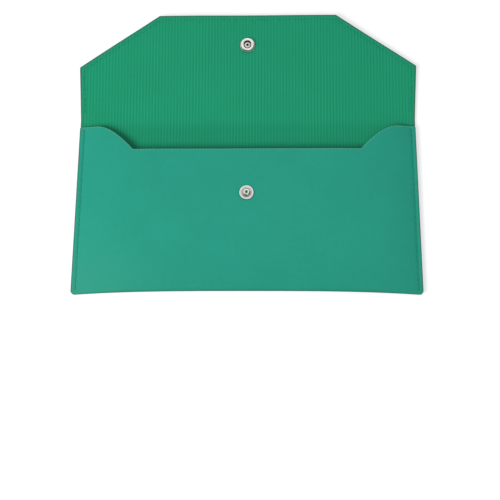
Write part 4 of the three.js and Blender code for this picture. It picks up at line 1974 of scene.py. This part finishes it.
@dataclass
class RingSnap:
    """The ring snap: cap, socket and spring on the flap, stud and post on the front.

    Front height is in metres, and the snap's own sizes are in millimetres. A fourth number at a
    section's corner darkens the metal there with dirt, and with painted shade and reflection in
    its crevices and hollows.
    """

    rule: FoldRule
    wire: Recipe
    finishes: Finishes
    front_height: float
    seat: float = 0.05
    cap_radius: float = 5.0
    cap_height: float = 1.7
    cap_wall: float = 0.5
    dome_parts: int = 16
    rivet: float = 1.2
    rivet_play: float = 0.1
    flare: float = 0.45
    plate: float = 0.35
    socket_height: float = 1.7
    lip: float = 0.35
    stud_height: float = 1.8
    wire_radius: float = 0.2
    wire_play: float = 0.1
    wire_reach: float = 2.7
    arc_parts: int = 16
    hook_parts: int = 10
    leg_offset: float = 2.1
    end_angle: float = 0.5

    @property
    def bore(self) -> float:
        """Radius of the holes that the rivet and the post go through."""
        return self.rivet + self.rivet_play

    def build(self) -> list[bpy.types.Object]:
        """Makes the five pieces."""
        sheet = self.rule.sheet / MM
        flap = (
            Matrix.Translation((0.0, self.rule.fold_y, 0.0))
            @ Matrix.Rotation(self.rule.flap_tilt, 4, "X")
            @ Matrix.Translation((0.0, self.rule.snap_reach, 0.0))
        )
        above = flap @ Matrix.Translation((0.0, 0.0, self.rule.sheet))
        front = Matrix.Translation((0.0, self.rule.stud_y, self.front_height))
        inner = front @ Matrix.Translation((0.0, 0.0, -self.rule.sheet))
        made = [
            (turned("cap", self._cap(sheet), flap), "snap_cap", "flap"),
            (turned("socket", self._socket(), above), "snap_socket", "flap"),
            (self._spring(above), "snap_spring", "flap"),
            (turned("stud", self._stud(), front), "snap_stud", "pocket"),
            (turned("post", self._post(sheet), inner), "snap_post", "pocket"),
        ]
        for piece, node, body in made:
            if not piece.data.materials:
                piece.data.materials.append(self.finishes.nickel)
            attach(piece, body)
            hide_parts(node)
        return [piece for piece, _, _ in made]

    def _cap(self, sheet: float) -> list[tuple[float, ...]]:
        """Section of the domed cap and its rivet."""
        inner = -self.seat
        rim = inner - self.cap_wall
        rise = self.cap_height - self.cap_wall + inner
        dome = [(0.0, -self.cap_height, 0.0)]
        for k in range(1, self.dome_parts + 1):
            angle = k / self.dome_parts * math.pi / 2.0
            dome.append((self.cap_radius * math.sin(angle), rim - rise * math.cos(angle), 0.0))
        top = sheet + self.seat + self.plate + self.rivet_play
        flared = self.rivet + self.flare
        return dome + [
            (self.cap_radius, inner, 0.18),
            (self.rivet, inner, 0.0),
            (self.rivet, top, 0.0),
            (flared, top, 0.04, 0.8),
            (flared, top + 0.14, 0.1, 0.35),
            (self.rivet, top + 0.2, 0.08, 0.2),
            (0.62, top + 0.2, 0.12, 0.5),
            (0.5, top - 0.35, 0.12, 1.0),
            (0.0, top - 0.4, 0.0, 1.0),
        ]

    def _socket(self) -> list[tuple[float, ...]]:
        """Section of the socket, whose ring holds the spring."""
        base, plate, high = self.seat, self.seat + self.plate, self.socket_height
        under = high - self.lip
        return [
            (self.bore, base, 0.05),
            (4.1, base, 0.08),
            (4.1, plate, 0.14, 0.15),
            (3.68, plate, 0.1, 0.95),
            (3.6, high, 0.42),
            (2.25, high, 0.16, 0.1),
            (2.25, under, 0.06, 1.0),
            (3.0, under, 0.05, 1.0),
            (3.0, plate, 0.1, 1.0),
            (self.bore, plate, 0.05, 1.0),
        ]

    def _stud(self) -> list[tuple[float, ...]]:
        """Section of the stud, a hollow ball on a flange."""
        base, high = self.seat, self.stud_height
        return [
            (self.bore, base, 0.04),
            (3.9, base, 0.1),
            (3.9, 0.4, 0.16, 0.03),
            (3.5, 0.4, 0.1, 0.16),
            (2.6, 0.4, 0.12, 0.4),
            (2.35, 0.52, 0.12, 0.4),
            (2.0, 0.44, 0.1, 0.55),
            (1.5, 0.82, 0.22, 0.6),
            (1.48, 0.98, 0.1, 0.5),
            (1.68, 1.22, 0.18, 0.2),
            (1.66, 1.6, 0.2),
            (1.4, high, 0.16),
            (0.95, high, 0.12, 0.15),
            (0.66, high - 0.3, 0.1, 1.0),
            (self.bore, high - 0.3, 0.04, 1.0),
        ]

    def _post(self, sheet: float) -> list[tuple[float, ...]]:
        """Section of the flanged post that holds the stud."""
        top = sheet + self.stud_height - 0.7
        return [
            (0.0, -0.45, 0.0),
            (2.2, -0.45, 0.2),
            (3.6, -0.24, 0.14),
            (3.6, -self.seat, 0.06),
            (self.rivet, -self.seat, 0.04),
            (self.rivet, top - 0.3, 0.1, 0.7),
            (0.9, top, 0.1, 0.1),
            (0.45, top - 0.08, 0.1, 0.4),
            (0.32, top - 0.45, 0.06, 1.0),
            (0.0, top - 0.45, 0.0, 1.0),
        ]

    def _spring(self, place: Matrix) -> bpy.types.Object:
        """Bends the socket's wire.

        Args:
            place: Where the socket stands.

        Returns:
            The spring.
        """
        turn = math.acos(self.leg_offset / self.wire_reach)
        hook = 2.0 * self.end_angle
        arcs = [
            np.linspace(-turn - hook, -turn, self.hook_parts),
            np.linspace(turn, math.pi - turn, self.arc_parts),
            np.linspace(math.pi + turn, math.pi + turn + hook, self.hook_parts),
        ]
        angle = np.concatenate(arcs)
        height = self.socket_height - self.lip - self.wire_radius - self.wire_play
        reach = self.wire_reach
        places = [(reach * math.cos(a) * MM, reach * math.sin(a) * MM, height * MM) for a in angle]
        path = bpy.data.meshes.new("spring")
        path.from_pydata(places, [(i, i + 1) for i in range(len(places) - 1)], [])
        path.transform(place)
        piece = new_piece("spring", path)
        self.wire.put_on(piece, self.finishes.nickel, Wire(self.wire_radius * MM))
        return settle(piece)


def toward(turn: float, swing: float) -> Vector:
    """The way turned from straight up by one angle, and by another from -Y round to +X."""
    flat = math.sin(turn)
    return Vector((flat * math.sin(swing), -flat * math.cos(swing), math.cos(turn)))


@dataclass(frozen=True)
class Flag:
    """A card that only shines seen in polished metal show."""

    name: str
    turn: float
    swing: float
    size: Pair
    tone: Colour


@dataclass(frozen=True)
class Studio:
    """The camera, the light and the white ground."""

    aim: Triple = (1.83 * MM, -24.0 * MM, 0.0)
    distance: float = 0.7013
    tilt: float = math.radians(10.92)
    swing: float = math.radians(9.34)
    roll: float = math.radians(0.28)
    lens: float = 93.0
    sensor: float = 36.0
    world_level: float = 0.55
    key_level: float = 0.46
    key_turn: float = math.radians(39.0)
    key_swing: float = math.radians(-52.0)
    key_reach: float = 0.95
    key_size: float = 0.5
    flags: tuple[Flag, ...] = (
        Flag("low_flag", math.radians(42.0), math.radians(-24.0), (0.56, 0.66), (0.05, 0.08, 0.06)),
        Flag("side_flag", math.radians(52.0), math.radians(80.0), (0.7, 0.7), (0.66, 0.56, 0.48)),
    )
    flag_reach: float = 0.5
    floor_size: float = 6.0
    floor_drop: float = 0.25 * MM
    floor_tone: float = 0.45
    floor_white: float = 1.02
    floor_glow: float = 0.59
    floor_key_share: float = 0.85

    def add_camera(self) -> None:
        """Makes the camera, which looks down from a little in front and to the right."""
        lens = bpy.data.cameras.new("camera")
        lens.lens = self.lens
        lens.sensor_width = self.sensor
        camera = bpy.data.objects.new("camera", lens)
        back = toward(self.tilt, self.swing)
        across = Vector((0.0, 1.0, 0.0)).cross(back).normalized()
        level = Matrix((across, back.cross(across), back)).transposed()
        camera.location = Vector(self.aim) + back * self.distance
        camera.rotation_euler = (level @ Matrix.Rotation(self.roll, 3, "Z")).to_euler()
        bpy.context.scene.collection.objects.link(camera)
        bpy.context.scene.camera = camera
        bpy.context.scene.view_settings.view_transform = "Standard"

    def add_light(self) -> None:
        """Makes the lamps and the surroundings."""
        self._world()
        self._key()
        for flag in self.flags:
            self._add_flag(flag)

    def _world(self) -> None:
        """Makes the surroundings: plain light, and white where they are seen."""
        world = bpy.data.worlds.new("surroundings")
        bpy.context.scene.world = world
        world.use_nodes = True
        world.node_tree.nodes.clear()
        graph = Graph(world.node_tree)
        level = self._seen(graph) * (1.0 - self.world_level) + self.world_level
        shine = graph.read("ShaderNodeBackground", 0, {"Color": (1.0, 1.0, 1.0), "Strength": level})
        graph.node("ShaderNodeOutputWorld", {"Surface": shine})

    @staticmethod
    def _seen(graph: Graph) -> Value:
        """1 where the surroundings are looked at, straight, mirrored or through glass."""
        path = graph.node("ShaderNodeLightPath")
        camera, mirrored, through = (
            Value(graph, path.outputs[f"Is {way} Ray"])
            for way in ("Camera", "Glossy", "Transmission")
        )
        return most(camera, most(mirrored, through))

    def _key(self) -> None:
        """Makes the soft lamp at the left."""
        lamp = bpy.data.lights.new("key", "AREA")
        lamp.shape = "DISK"
        lamp.size = self.key_size
        way = toward(self.key_turn, self.key_swing)
        lamp.energy = self.key_level * 4.0 * math.pi * self.key_reach**2 / way.z
        lit = bpy.data.objects.new("key", lamp)
        lit.location = way * self.key_reach
        lit.rotation_euler = way.to_track_quat("Z", "Y").to_euler()
        lit.visible_glossy = False
        bpy.context.scene.collection.objects.link(lit)

    def _key_on_floor(self, ground: Surface) -> Value:
        """How much of the lamp's light a place on the ground gets, so that it can stay white.

        Args:
            ground: The ground's finish.

        Returns:
            The light, in the scene's own units.
        """
        lamp = toward(self.key_turn, self.key_swing) * self.key_reach
        x, y, _ = (part * MM for part in ground.graph.parts(ground.body()))
        square = (x - lamp.x) ** 2.0 + (y - lamp.y) ** 2.0 + lamp.z**2
        ahead = (x * lamp.x + y * lamp.y) * -1.0 + lamp.length_squared
        return ahead / square**2.0 * (self.key_level * 4.0 / math.pi * self.key_reach**2)

    def _add_flag(self, flag: Flag) -> None:
        """Makes a card that only shines seen in polished metal show.

        Args:
            flag: Its place, size and tone.
        """
        way = toward(flag.turn, flag.swing)
        card = self._card(flag.name, flag.size, way * self.flag_reach)
        card.rotation_euler = way.to_track_quat("Z", "Y").to_euler()
        plain = Surface(flag.name, {"Base Color": flag.tone, "Roughness": 1.0})
        card.data.materials.append(plain.material)
        card.visible_camera = False
        card.visible_diffuse = False
        card.visible_shadow = False
        card.visible_transmission = False

    @staticmethod
    def _card(name: str, size: Pair, place: Vector) -> bpy.types.Object:
        """Makes a flat card of the studio's own.

        Args:
            name: Its name.
            size: Its width and height.
            place: Its middle.

        Returns:
            The card.
        """
        x, y = size[0] / 2.0, size[1] / 2.0
        mesh = bpy.data.meshes.new(name)
        corners = [(-x, -y, 0.0), (x, -y, 0.0), (x, y, 0.0), (-x, y, 0.0)]
        mesh.from_pydata(corners, [], [(0, 1, 2, 3)])
        card = new_piece(name, mesh)
        card.location = place
        return card

    def add_floor(self) -> None:
        """Makes the white ground, which keeps the object's shadow."""
        size = (self.floor_size, self.floor_size)
        floor = self._card("ground", size, Vector((0.0, 0.0, -self.floor_drop)))
        tone = self.floor_tone
        ground = Surface("ground", {
            "Base Color": (tone, tone, tone),
            "Roughness": 1.0,
            "Specular IOR Level": 0.0,
            "Emission Strength": 1.0,
        })
        light = self.world_level + self._key_on_floor(ground) * self.floor_key_share
        lacking = most(self.floor_glow, self.floor_white - light * tone)
        lit = ground.shaded((1.0, 1.0, 1.0), self._seen(ground.graph) * lacking)
        floor.data.materials.append(ground.dressed({"Emission Color": lit}))


def main() -> None:
    """Builds the scene."""
    logging.basicConfig(level=logging.INFO, format="%(name)s: %(message)s")
    studio = Studio()
    studio.add_camera()
    stud_low, stud_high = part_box("snap_stud")
    snap_reach, snap_rise, stud_sunk = 42.9 * MM, 1.72 * MM, 0.05 * MM
    rule = FoldRule(
        fold_y=frame["joints"][0]["pos_m"][1],
        flap_tilt=math.asin(snap_rise / snap_reach),
        stud_y=(stud_low.y + stud_high.y) / 2.0,
        snap_reach=snap_reach,
    )
    shape = CutShape(rule)
    finishes = Finishes(
        CoatedLeather(fold_middle=-(rule.back_length + rule.bend_length / 2.0) / MM).build(),
        RibbedLining().build(),
        SpunThread().build(),
        PlatedNickel().build(),
    )
    fold = fold_recipe()
    made = FoldedSheet(rule, shape, relief_recipe(), fold, finishes).build()
    made += Seams(rule, shape, stitch_recipe(), fold, finishes).build()
    made += RingSnap(rule, wire_recipe(), finishes, stud_low.z - stud_sunk).build()
    for piece in made:
        points, faces = len(piece.data.vertices), len(piece.data.polygons)
        LOG.info("%s: %d points, %d faces", piece.name, points, faces)
    studio.add_light()
    studio.add_floor()


if __name__ == "__main__":
    main()
